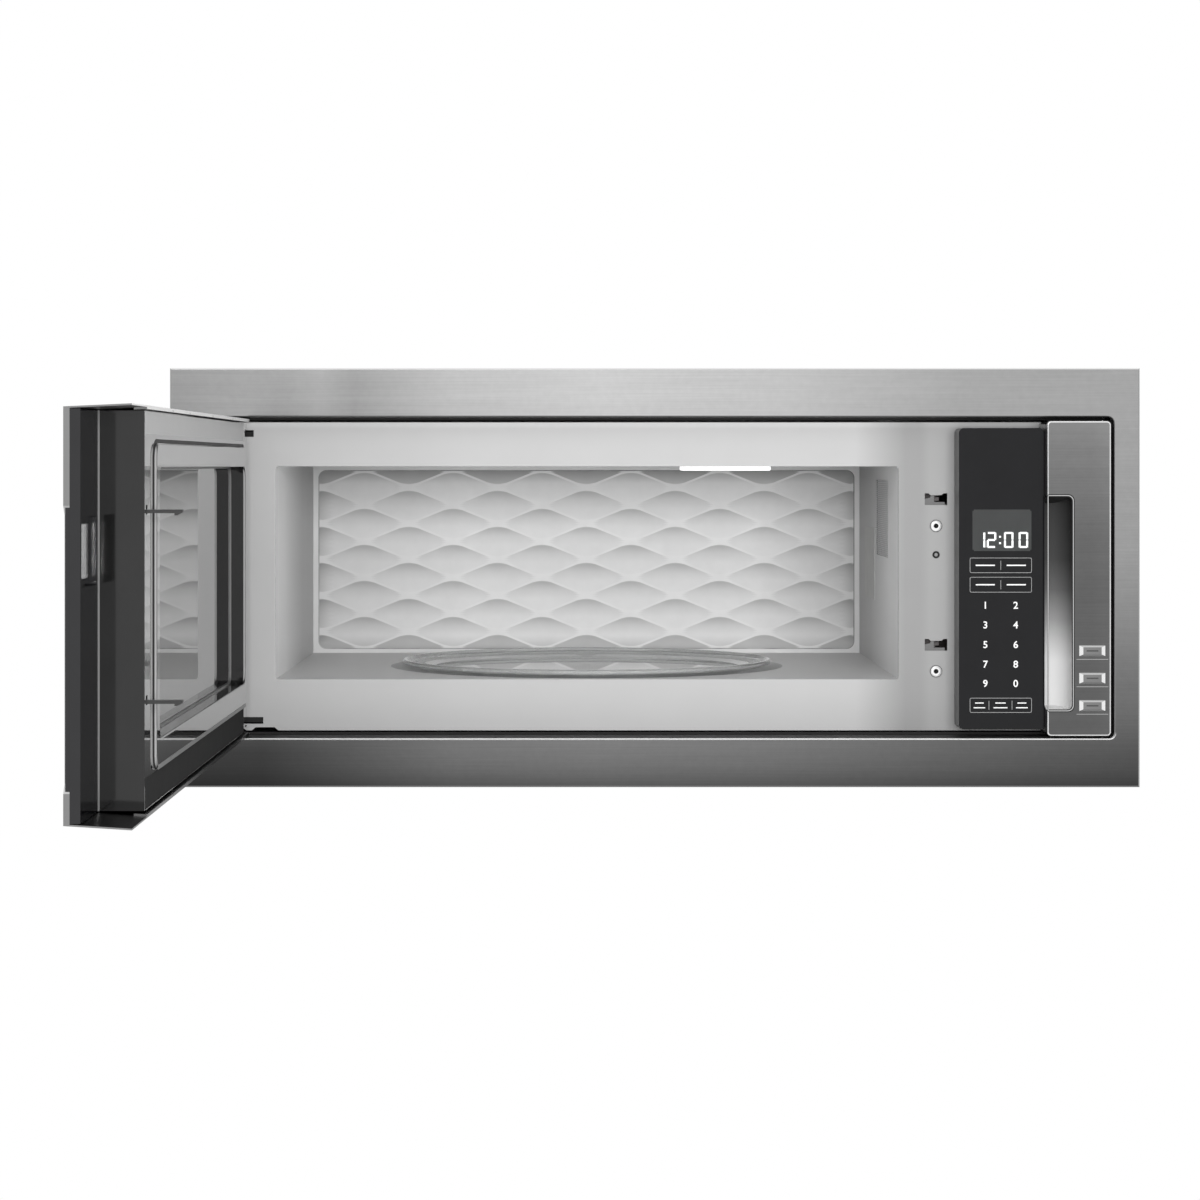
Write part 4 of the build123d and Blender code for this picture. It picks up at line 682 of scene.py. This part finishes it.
def dish_shade(p, q):
    """The shade in a dish, darkest under its upper edges."""
    level = (1 + (p - q) / 2) / 2
    for (start, first), (end, last) in zip(DISH_SHADE, DISH_SHADE[1:]):
        if level <= end:
            break
    return first + (last - first) * (level - start) / (end - start)


def shade_at(p, q, gap, above):
    """The shade at a place, from its gap to the border and its cell's height over the top edge."""
    if outward(p, q) >= 1:
        return RIDGE_SHADE
    value = dish_shade(p, q)
    if above > 0:
        value *= CUT_SHADE
    elif above > -TOP_ROW * CELL_Z:
        value = 1 - TOP_FADE * (1 - value)
    return value * (1 - BORDER_SHADE * max(0.0, 1 - gap / BORDER_REACH))


def add_dishes(mesh, shade):
    """A grid of faces along the lattice's two slants, somewhat wider than the field."""
    reach = int(2 * HALF_X / CELL_X + 2 * HALF_Z / CELL_Z) + 2
    marks = [(cell, mark) for cell in range(-reach, reach + 1) if cell % 2 for mark in MARKS]
    grid = {}
    for i, (p_cell, p) in enumerate(marks):
        for j, (q_cell, q) in enumerate(marks):
            x = (p_cell + p + q_cell + q) / 2 * CELL_X / 2
            z = (p_cell + p - q_cell - q) / 2 * CELL_Z / 2
            if abs(x) < HALF_X + CELL_X / 4 and abs(z) < HALF_Z + CELL_Z / 4:
                vertex = mesh.verts.new((WALL_MIDDLE.x + x, WALL_LOW.y + dish(p, q), WALL_MIDDLE.z + z))
                gap = max(0.0, min(HALF_X - abs(x), HALF_Z - abs(z)))
                above = (p_cell - q_cell) * CELL_Z / 4 - HALF_Z
                vertex[shade] = shade_at(p, q, gap, above)
                grid[i, j] = vertex
    for i, j in grid:
        corners = [(i, j), (i + 1, j), (i + 1, j + 1), (i, j + 1)]
        if all(corner in grid for corner in corners):
            mesh.faces.new([grid[corner] for corner in corners])


def cut_field(mesh):
    """Cut the dishes to the field, at its four sides and in facets round its corners."""
    cuts = []
    for turn in (0.0, pi / 2, pi, -pi / 2):
        cuts.append(((HALF_X * cos(turn), HALF_Z * sin(turn)), (cos(turn), sin(turn))))
    for side_x in (-1, 1):
        for side_z in (-1, 1):
            heart = (side_x * (HALF_X - FIELD_R), side_z * (HALF_Z - FIELD_R))
            for step in range(1, FIELD_FACETS):
                turn = step * pi / 2 / FIELD_FACETS
                way = (side_x * cos(turn), side_z * sin(turn))
                cuts.append(([h + FIELD_R * w for h, w in zip(heart, way)], way))
    for place, way in cuts:
        bmesh.ops.bisect_plane(
            mesh,
            geom=mesh.verts[:] + mesh.edges[:] + mesh.faces[:],
            plane_co=(WALL_MIDDLE.x + place[0], 0, WALL_MIDDLE.z + place[1]),
            plane_no=(way[0], 0, way[1]),
            clear_outer=True,
        )
    for face in mesh.faces:
        face.smooth = True


def close_wall(mesh, shade):
    """Bring the field's rim to the front, then add the flat border, the wall's sides and its back."""
    rim = [edge for edge in mesh.edges if edge.is_boundary]
    made = bmesh.ops.extrude_edge_only(mesh, edges=rim)["geom"]
    ring = [g for g in made if isinstance(g, bmesh.types.BMEdge) and g.is_boundary]
    for edge in rim + ring:
        edge.smooth = False
    for face in (g for g in made if isinstance(g, bmesh.types.BMFace)):
        face.smooth = False
    low, high = WALL_LOW, WALL_HIGH
    for vertex in {v for edge in ring for v in edge.verts}:
        vertex.co.y = low.y
        vertex[shade] = 1.0
    corners = [(low.x, low.z), (high.x, low.z), (high.x, high.z), (low.x, high.z)]
    front, back = ([mesh.verts.new((x, y, z)) for x, z in corners] for y in (low.y, high.y))
    for vertex in front + back:
        vertex[shade] = 1.0
    outline = [mesh.edges.new((front[k], front[(k + 1) % 4])) for k in range(4)]
    bmesh.ops.triangle_fill(mesh, use_beauty=True, edges=ring + outline)
    for k in range(4):
        mesh.faces.new((front[k], front[(k + 1) % 4], back[(k + 1) % 4], back[k]))
    mesh.faces.new(back)
    bmesh.ops.recalc_face_normals(mesh, faces=mesh.faces[:])


def order_faces(mesh):
    """Put the faces in the order of their vertices; Blender's operators leave them in no fixed order."""
    mesh.verts.index_update()
    ordered = sorted(mesh.faces, key=lambda face: [vertex.index for vertex in face.verts])
    for index, face in enumerate(ordered):
        face.index = index
    mesh.faces.sort()


def diamond_wall():
    mesh = bmesh.new()
    shade = mesh.verts.layers.float.new("painted_relief_shade")
    add_dishes(mesh, shade)
    cut_field(mesh)
    close_wall(mesh, shade)
    order_faces(mesh)
    wall = make_piece("diamond_wall", mesh, wall_enamel, "oven", smooth=None)
    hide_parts("cavity_back")


diamond_wall()


# Print on the key panel: digits, and frames with bars that stand in for words

KEYPAD_LEFT, KEYPAD_FACE, KEYPAD_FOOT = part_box("keypad_glass")[0]
LINE = 0.38 * MM
LINE_R = 1.3 * MM
DIVIDER_INSET = 0.2
FRAME_SPAN = (8.6 * MM, 57.2 * MM)
FRAME_ROWS = ((122.7 * MM, 134.6 * MM), (107.4 * MM, 119.5 * MM))
BAR_HALF = 7.5 * MM
BAR_HEIGHT = 1.0 * MM
LOW_FRAME = (13.1 * MM, 24.7 * MM)
LOW_DIVIDERS = (23.6 * MM, 41.7 * MM)
LOW_BAR_HEIGHT = 0.8 * MM
LOW_BAR_ROWS = (0.30, 0.62)
LOW_BAR_HALVES = (0.30, 0.225)
DIGIT = 5.6 * MM
DIGIT_COLUMNS = (20.8 * MM, 44.6 * MM)
DIGIT_ROWS = (97.5 * MM, 82.1 * MM, 66.7 * MM, 51.3 * MM, 36.2 * MM)
DIGITS = ("12", "34", "56", "78", "90")
FONT_SIZE = 1.38
FONT_WEIGHT = 0.022


def add_glyph(mesh, text, x, z):
    """A number as flat letters that face the front."""
    curve = bpy.data.curves.new("glyph", "FONT")
    curve.body = text
    curve.size = DIGIT * FONT_SIZE
    curve.align_x = "CENTER"
    curve.offset = DIGIT * FONT_WEIGHT
    curve.extrude = INK / 2
    source = bpy.data.objects.new("glyph", curve)
    bpy.context.scene.collection.objects.link(source)
    shape = bpy.data.meshes.new_from_object(source.evaluated_get(bpy.context.evaluated_depsgraph_get()))
    place = Matrix.Translation((x, KEYPAD_FACE - INK / 2, z - DIGIT / 2))
    shape.transform(place @ Matrix.Rotation(pi / 2, 4, "X"))
    mesh.from_mesh(shape)
    bpy.data.meshes.remove(shape)
    bpy.data.objects.remove(source)
    bpy.data.curves.remove(curve)


def add_frame(mesh, x0, x1, z0, z1, dividers):
    """A thin frame with rounded corners and upright dividers."""
    add_ring(
        mesh,
        round_path(x0, x1, z0, z1, LINE_R),
        round_path(x0 + LINE, x1 - LINE, z0 + LINE, z1 - LINE, LINE_R - LINE),
        KEYPAD_FACE - INK,
        KEYPAD_FACE,
        on_front,
    )
    inset = (z1 - z0) * DIVIDER_INSET
    for x in dividers:
        add_flat(mesh, x - LINE / 2, x + LINE / 2, z0 + inset, z1 - inset, KEYPAD_FACE)


def keypad_print():
    lines = bmesh.new()
    marks = bmesh.new()
    x0, x1 = (KEYPAD_LEFT + x for x in FRAME_SPAN)
    middle = (x0 + x1) / 2
    for row in FRAME_ROWS:
        z0, z1 = (KEYPAD_FOOT + z for z in row)
        add_frame(lines, x0, x1, z0, z1, [middle])
        z = (z0 + z1 - BAR_HEIGHT) / 2
        for x in ((x0 + middle) / 2, (middle + x1) / 2):
            add_flat(marks, x - BAR_HALF, x + BAR_HALF, z, z + BAR_HEIGHT, KEYPAD_FACE)
    z0, z1 = (KEYPAD_FOOT + z for z in LOW_FRAME)
    dividers = [KEYPAD_LEFT + x for x in LOW_DIVIDERS]
    add_frame(lines, x0, x1, z0, z1, dividers)
    edges = [x0, *dividers, x1]
    for a, b in zip(edges, edges[1:]):
        x = (a + b) / 2
        for row, share in zip(LOW_BAR_ROWS, LOW_BAR_HALVES):
            half = (b - a) * share
            z = z0 + (z1 - z0) * row
            add_flat(marks, x - half, x + half, z, z + LOW_BAR_HEIGHT, KEYPAD_FACE)
    for row, pair in zip(DIGIT_ROWS, DIGITS):
        for column, digit in zip(DIGIT_COLUMNS, pair):
            add_glyph(marks, digit, KEYPAD_LEFT + column, KEYPAD_FOOT + row)
    make_piece("keypad_print", marks, ink, "oven")
    make_piece("keypad_lines", lines, line_ink, "oven")


keypad_print()


# Clock, as seven-segment digits on the display's own patch

SCREEN_LOW, SCREEN_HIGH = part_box("display_module")
PATCH_R = 1.0 * MM
CLOCK_TIME = "1200"
CLOCK_CELLS = (2.6 * MM, 11.2 * MM, 24.7 * MM, 36.2 * MM)
CLOCK_COLON = 21.6 * MM
COLON_ROWS = (0.3, 0.7)
CLOCK_FOOT = 2.4 * MM
CLOCK_HEIGHT = 12.5 * MM
CLOCK_WIDTH = 7.4 * MM
CLOCK_STROKE = 1.5 * MM
SEGMENTS = {"0": "abcdef", "1": "bc", "2": "abged"}


def add_segments(mesh, digit, x, z, face):
    """One digit out of seven strokes, with gaps between them."""
    w, h, t = CLOCK_WIDTH, CLOCK_HEIGHT, CLOCK_STROKE
    middle = z + h / 2
    inset, gap, end = t * 0.6, t * 0.2, t * 0.3
    strokes = {
        "a": (x + inset, x + w - inset, z + h - t, z + h),
        "b": (x + w - t, x + w, middle + gap, z + h - end),
        "c": (x + w - t, x + w, z + end, middle - gap),
        "d": (x + inset, x + w - inset, z, z + t),
        "e": (x, x + t, z + end, middle - gap),
        "f": (x, x + t, middle + gap, z + h - end),
        "g": (x + inset, x + w - inset, middle - t / 2, middle + t / 2),
    }
    for key in SEGMENTS[digit]:
        add_flat(mesh, *strokes[key], face)


def clock():
    patch = bmesh.new()
    add_flat(patch, SCREEN_LOW[0], SCREEN_HIGH[0], SCREEN_LOW[2], SCREEN_HIGH[2], KEYPAD_FACE)
    corners = [edge for edge in patch.edges if abs(edge.verts[0].co.y - edge.verts[1].co.y) > INK / 2]
    bmesh.ops.bevel(patch, geom=corners, offset=PATCH_R, segments=4, affect="EDGES")
    make_piece("display_patch", patch, display_dark, "oven")
    digits = bmesh.new()
    face = KEYPAD_FACE - INK
    foot = SCREEN_LOW[2] + CLOCK_FOOT
    for digit, offset in zip(CLOCK_TIME, CLOCK_CELLS):
        add_segments(digits, digit, SCREEN_LOW[0] + offset, foot, face)
    x = SCREEN_LOW[0] + CLOCK_COLON
    half = CLOCK_STROKE / 2
    for share in COLON_ROWS:
        z = foot + CLOCK_HEIGHT * share
        add_flat(digits, x - half, x + half, z - half, z + half, face)
    make_piece("clock_digits", digits, lit_ink, "oven")


clock()


# Screws between the latch slots: two with washer heads, and a small one in a dark ring

SCREWS_LOW, SCREWS_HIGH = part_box("front_screws")
SCREW_X = (SCREWS_LOW[0] + SCREWS_HIGH[0]) / 2
PLATE_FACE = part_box("front_plate")[0][1]
SCREW_ROWS = (164.8 * MM, 49.4 * MM)
SCREW_R = 4.9 * MM
SOCKET_R = 1.8 * MM
SMALL_SCREW_Z = 141.9 * MM

# Washer, crown and socket as (radius, depth), and the head's painted light and shade by its depth
HEAD_PROFILE = (
    (SCREW_R, 0.0),
    (SCREW_R, -0.4 * MM),
    (SCREW_R * 0.90, -0.9 * MM),
    (SCREW_R * 0.86, -1.3 * MM),
    (SCREW_R * 0.55, -1.6 * MM),
    (SOCKET_R + 0.2 * MM, -1.6 * MM),
    (SOCKET_R, -1.3 * MM),
    (SOCKET_R * 0.97, -0.1 * MM),
)
HEAD_TONE = (
    (-1.6 * MM, 0.95), (-1.25 * MM, 0.90), (-1.1 * MM, 0.30),
    (-0.4 * MM, 0.22), (-0.25 * MM, 0.004), (0.6 * MM, 0.002),
)
# Names, materials, radii and heights of the small screw's two pieces, and their common profile
SMALL_SCREW = (
    ("small_screw_ring", deep_black, 2.9 * MM, -0.5 * MM),
    ("small_screw_head", screw_grey, 1.4 * MM, -0.8 * MM),
)
SMALL_PROFILE = ((1.0, 0.0), (1.0, 0.7), (0.8, 1.0))


def screw_head():
    """Heads with light and shade painted by depth: bright crowns, darker sides and dark sockets."""
    made = Shader("screw_head").set(metallic=0.4, roughness=0.35)
    tone = made.along("Y", [(PLATE_FACE + depth, value) for depth, value in HEAD_TONE])
    speck = made.ramp(made.noise(900.0, 2.0), [(0.3, 0.9), (0.7, 1.0)])
    return made.colour(made.times(tone, speck)).material


def front_screws():
    mesh = bmesh.new()
    for z in SCREW_ROWS:
        add_lathe(mesh, HEAD_PROFILE, (SCREW_X, PLATE_FACE, z))
    heads = make_piece("front_screw_heads", mesh, screw_head(), "oven", True)
    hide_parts("front_screws")
    for name, material, radius, height in SMALL_SCREW:
        mesh = bmesh.new()
        profile = [(radius * wide, height * high) for wide, high in SMALL_PROFILE]
        add_lathe(mesh, profile, (SCREW_X, PLATE_FACE, SMALL_SCREW_Z))
        make_piece(name, mesh, material, "oven")


front_screws()


# Door's thin steel edge beside the flap, with its long edges eased

COVER_LOW, COVER_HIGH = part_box("choke_cover")
FLAP_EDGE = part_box("flap_liner")[1][0]
STRIP_WIDTHS = (1.0 * MM, 0.6 * MM)
STRIP_REACH = 0.7 * MM
STRIP_GAP = 0.05 * MM
STRIP_R = 0.3 * MM


def door_strip():
    mesh = bmesh.new()
    outer, inner = STRIP_WIDTHS
    add_box(
        mesh,
        (FLAP_EDGE - outer, COVER_LOW[1] - STRIP_REACH, COVER_LOW[2]),
        (FLAP_EDGE + inner, COVER_LOW[1] - STRIP_GAP, COVER_HIGH[2]),
    )
    upright = [edge for edge in mesh.edges if abs(edge.verts[0].co.z - edge.verts[1].co.z) > 0.1]
    bmesh.ops.bevel(mesh, geom=upright, offset=STRIP_R, segments=2, affect="EDGES")
    make_piece("flap_strip", mesh, strip_steel, "door")


door_strip()


# Painted highlight: a bright strip along the foot of the trim's opening and round its right corner

LIP_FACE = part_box("trim_frame")[0][1]
LIP_SKIN = 0.06 * MM
LIP_RUN = (-350.0 * MM, 356.0 * MM)
LIP_TOP = -0.9 * MM
LIP_WIDTH = 0.85 * MM
LIP_R = 4.5 * MM
LIP_START = 0.6
LIP_CORNER = (0.95, 0.80, 0.65, 0.50, 0.35, 0.20)


def trim_lip_highlight():
    """A flat strip that widens along its run and thins again round the corner."""
    start, end = LIP_RUN
    outer = [(start, LIP_TOP - LIP_WIDTH * LIP_START), (end, LIP_TOP - LIP_WIDTH)]
    inner = [(start, LIP_TOP), (end, LIP_TOP)]
    for k, share in enumerate(LIP_CORNER, 1):
        angle = -pi / 2 + k * pi / 2 / len(LIP_CORNER)
        for path, radius in ((outer, LIP_R + LIP_WIDTH * share), (inner, LIP_R)):
            path.append((end + radius * cos(angle), LIP_TOP + LIP_R + radius * sin(angle)))
    mesh = bmesh.new()
    rows = []
    for path in (outer, inner):
        for y in (LIP_FACE - LIP_SKIN, LIP_FACE):
            rows.append([mesh.verts.new((x, y, z)) for x, z in path])
    for k in range(len(outer) - 1):
        for a, b in ((0, 1), (1, 3), (3, 2), (2, 0)):
            mesh.faces.new((rows[a][k], rows[a][k + 1], rows[b][k + 1], rows[b][k]))
    for k in (0, -1):
        mesh.faces.new((rows[0][k], rows[1][k], rows[3][k], rows[2][k]))
    bmesh.ops.recalc_face_normals(mesh, faces=mesh.faces[:])
    make_piece("trim_lip_highlight", mesh, painted_lip_highlight, "oven")


trim_lip_highlight()


# Painted shade of the pressed groove round the diamonds, as a thin dark ring, and the guard behind the side
# vents

GROOVE_WIDTH = 0.9 * MM
GROOVE_SKIN = 0.1 * MM
GROOVE_STEPS = 8
GUARD_LOW = (195.6 * MM, 118.0 * MM, 130.0 * MM)
GUARD_HIGH = (195.8 * MM, 219.0 * MM, 207.0 * MM)


def wall_groove_shade():
    x0, x1 = WALL_LOW.x + FIELD_SIDE, WALL_HIGH.x - FIELD_SIDE
    z0, z1 = WALL_LOW.z + FIELD_TOP, WALL_HIGH.z - FIELD_TOP
    w = GROOVE_WIDTH
    mesh = bmesh.new()
    add_ring(
        mesh,
        round_path(x0, x1, z0, z1, FIELD_R, GROOVE_STEPS),
        round_path(x0 + w, x1 - w, z0 + w, z1 - w, FIELD_R - w, GROOVE_STEPS),
        WALL_LOW.y - GROOVE_SKIN,
        WALL_LOW.y,
        on_front,
    )
    make_piece("wall_groove_shade", mesh, groove_shade_enamel, "oven")


def vent_guard():
    mesh = bmesh.new()
    add_box(mesh, GUARD_LOW, GUARD_HIGH)
    make_piece("vent_guard", mesh, guard_enamel, "oven")


wall_groove_shade()
vent_guard()


# Finer forms of the door's inner face, and painted shade and a painted highlight on it, with each outline as
# its left, right, low and high sides

SKIN = 0.15 * MM
COVER_FACE = COVER_HIGH[0] - 2.2 * MM
STRIP_LEFT = COVER_LOW[1] + 1.5 * MM
STRIP_RIGHT = -18.0 * MM
STRIP_MARGIN = 0.5 * MM
HEAD_FOOT = 232.0 * MM
RIM = (-531.0 * MM, -12.0 * MM, 24.5 * MM, 226.9 * MM)
RIM_R = 11.0 * MM
RIM_GAP = 1.0 * MM
RIM_SHADOW = 2.4 * MM
RIM_SHADOW_LOW = 0.6 * MM
BAR_LEFT = 4.4 * MM
BAR_ROWS = (0.4 * MM, 3.2 * MM)
WINDOW = (-517.0 * MM, -24.0 * MM, 43.5 * MM, 211.5 * MM)
WINDOW_R = 9.0 * MM
WINDOW_FACE = COVER_HIGH[0] - 12.0 * MM
SEAL = 1.1 * MM


# The black strip along the foot of the cover's face is painted shade.
def door_strips():
    foot = COVER_LOW[2] + STRIP_MARGIN
    head = COVER_HIGH[2] - STRIP_MARGIN
    for name, z0, z1, material, slot in (
        ("cover_head", HEAD_FOOT, head, satin_steel, "trim_steel"),
        ("cover_foot", foot, RIM[2] - RIM_GAP, deep_black, "black_plastic"),
    ):
        mesh = bmesh.new()
        add_box(mesh, (COVER_FACE, STRIP_LEFT, z0), (COVER_FACE + SKIN, STRIP_RIGHT, z1))
        make_piece(name, mesh, material, "door")


# A dark ring round the cover's raised rim is painted shadow, and the steel strip along the rim's foot a
# painted highlight.
def door_rim():
    left, right, low, high = RIM
    shadow_ring = bmesh.new()
    add_ring(
        shadow_ring,
        round_path(left - RIM_SHADOW, right + RIM_SHADOW, low - RIM_SHADOW_LOW, high + RIM_SHADOW, RIM_R + RIM_SHADOW),
        round_path(left, right, low, high, RIM_R),
        COVER_FACE,
        COVER_FACE + SKIN,
        on_door,
    )
    make_piece("rim_shadow_ring", shadow_ring, matte_black, "door")
    bar = bmesh.new()
    z0, z1 = (low + z for z in BAR_ROWS)
    add_box(bar, (COVER_HIGH[0], left + BAR_LEFT, z0), (COVER_HIGH[0] + SKIN, right - RIM_R, z1))
    make_piece("rim_highlight_strip", bar, bar_steel, "door")


def window_seal():
    inner = [edge + SEAL * way for edge, way in zip(WINDOW, (1, -1, 1, -1))]
    mesh = bmesh.new()
    add_ring(
        mesh,
        round_path(*WINDOW, WINDOW_R),
        round_path(*inner, WINDOW_R - SEAL),
        WINDOW_FACE,
        WINDOW_FACE + SEAL,
        on_door,
    )
    make_piece("window_seal", mesh, bar_steel, "door")


door_strips()
door_rim()
window_seal()


# Bead and seam round the pocket's mouth: the dark seam is painted shadow, and the bright bead is the rolled
# edge with a painted highlight

COLUMN_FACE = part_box("right_column")[0][1]
POCKET = (306.7 * MM, 326.4 * MM, 21.3 * MM, 189.3 * MM)
POCKET_R = (4.4 * MM, 4.4 * MM, 1.0 * MM, 1.0 * MM)
POCKET_LEAST_R = 0.2 * MM


def pocket_ring(name, material, left, other, rise):
    """A ring on the mouth's edge, with its half width at the left and elsewhere, and its rise."""
    x0, x1, z0, z1 = POCKET
    mesh = bmesh.new()
    wide = tuple(r + other / 2 for r in POCKET_R)
    tight = tuple(max(r - other, POCKET_LEAST_R) for r in POCKET_R)
    add_ring(
        mesh,
        round_path(x0 - left, x1 + other, z0 - other, z1 + other, wide),
        round_path(x0 + left, x1 - other, z0 + other, z1 - other, tight),
        COLUMN_FACE - rise,
        COLUMN_FACE,
        on_front,
    )
    make_piece(name, mesh, material, "oven")


pocket_ring("pocket_shadow_ring", matte_black, 0.5 * MM, 1.1 * MM, 0.05 * MM)
pocket_ring("pocket_highlight_bead", painted_highlight_steel, 0.32 * MM, 0.32 * MM, 0.30 * MM)


# A dark mark on each of the three buttons, and a painted highlight as a bright strip under each

BUTTONS = ("upper_button", "middle_button", "lower_button")
MARK_HALF = 4.6 * MM
MARK_RISE = 0.55 * MM
BUTTON_HIGHLIGHT_SIDE = 0.6 * MM
BUTTON_HIGHLIGHT_DROP = 1.1 * MM
BUTTON_HIGHLIGHT_HEIGHT = 0.35 * MM


def button_marks():
    highlights = bmesh.new()
    for name in BUTTONS:
        low, high = (Vector(corner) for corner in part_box(name))
        x, z = (low.x + high.x) / 2, (low.z + high.z) / 2
        mesh = bmesh.new()
        add_flat(mesh, x - MARK_HALF, x + MARK_HALF, z - MARK_RISE, z + MARK_RISE, low.y)
        make_piece(f"{name}_mark", mesh, dark_ink, name)
        foot = low.z - BUTTON_HIGHLIGHT_DROP
        x0, x1 = low.x - BUTTON_HIGHLIGHT_SIDE, high.x + BUTTON_HIGHLIGHT_SIDE
        add_flat(highlights, x0, x1, foot, foot + BUTTON_HIGHLIGHT_HEIGHT, COLUMN_FACE)
    make_piece("button_highlights", highlights, painted_highlight_steel, "oven")


button_marks()


# Floor, light and camera


def light_paths(tree):
    """1 where the ray comes from the camera, a reflection or a transmission."""
    path = tree.nodes.new("ShaderNodeLightPath")
    seen = path.outputs["Is Camera Ray"]
    for name in ("Is Glossy Ray", "Is Transmission Ray"):
        larger = tree.nodes.new("ShaderNodeMath")
        larger.operation = "MAXIMUM"
        tree.links.new(seen, larger.inputs[0])
        tree.links.new(path.outputs[name], larger.inputs[1])
        seen = larger.outputs[0]
    return seen


def make_world():
    """White where it is seen, and dimmer where it lights the part."""
    world = bpy.data.worlds.new("studio")
    bpy.context.scene.world = world
    world.use_nodes = True
    tree = world.node_tree
    tree.nodes.clear()
    mix = tree.nodes.new("ShaderNodeMixShader")
    tree.links.new(light_paths(tree), mix.inputs[0])
    for socket, strength in zip(mix.inputs[1:], (AMBIENT, 1.0)):
        background = tree.nodes.new("ShaderNodeBackground")
        background.inputs["Color"].default_value = WHITE
        background.inputs["Strength"].default_value = strength
        tree.links.new(background.outputs[0], socket)
    out = tree.nodes.new("ShaderNodeOutputWorld")
    tree.links.new(mix.outputs[0], out.inputs["Surface"])


def make_floor():
    """A pale floor that shows as plain white."""
    bpy.ops.mesh.primitive_plane_add(size=FLOOR_SIZE, location=(0, 0, FLOOR_Z))
    floor = bpy.context.object
    floor.name = "floor"
    made = Shader("floor").set(roughness=0.8)
    made.colour(made.ramp(made.noise(2.0, 2.0), [(0.3, 0.80), (0.7, 0.82)]))
    white = made.node("ShaderNodeEmission")
    mix = made.node("ShaderNodeMixShader")
    made.link(light_paths(made.tree), mix.inputs[0])
    made.link(made.shader.outputs[0], mix.inputs[1])
    made.link(white.outputs[0], mix.inputs[2])
    made.link(mix.outputs[0], made.output.inputs["Surface"])
    floor.data.materials.append(made.material)


def area(name, place, target, width, height, power, mirrored=True):
    """A soft rectangular lamp that points at a target."""
    data = bpy.data.lights.new(name, "AREA")
    data.shape = "RECTANGLE"
    data.size = width
    data.size_y = height
    data.energy = power
    lamp = bpy.data.objects.new(name, data)
    bpy.context.scene.collection.objects.link(lamp)
    lamp.location = place
    lamp.visible_glossy = mirrored
    lamp.rotation_euler = (Vector(target) - Vector(place)).to_track_quat("-Z", "Y").to_euler()


def make_camera():
    data = bpy.data.cameras.new("camera")
    data.lens = LENS
    data.sensor_width = SENSOR
    data.shift_x = SHIFT_X
    data.shift_y = SHIFT_Y
    camera = bpy.data.objects.new("camera", data)
    bpy.context.scene.collection.objects.link(camera)
    camera.location = EYE
    camera.rotation_euler = (pi / 2, 0, 0)
    bpy.context.scene.camera = camera


make_world()
make_floor()
area("key", (0.33, -2.8, 0.34), (0, 0, 0.12), width=1.3, height=0.7, power=60, mirrored=False)
area("fill", (-0.9, -2.4, 1.3), (0, 0, 0.1), width=1.6, height=1.0, power=8)
make_camera()
bpy.context.scene.view_settings.view_transform = "Standard"
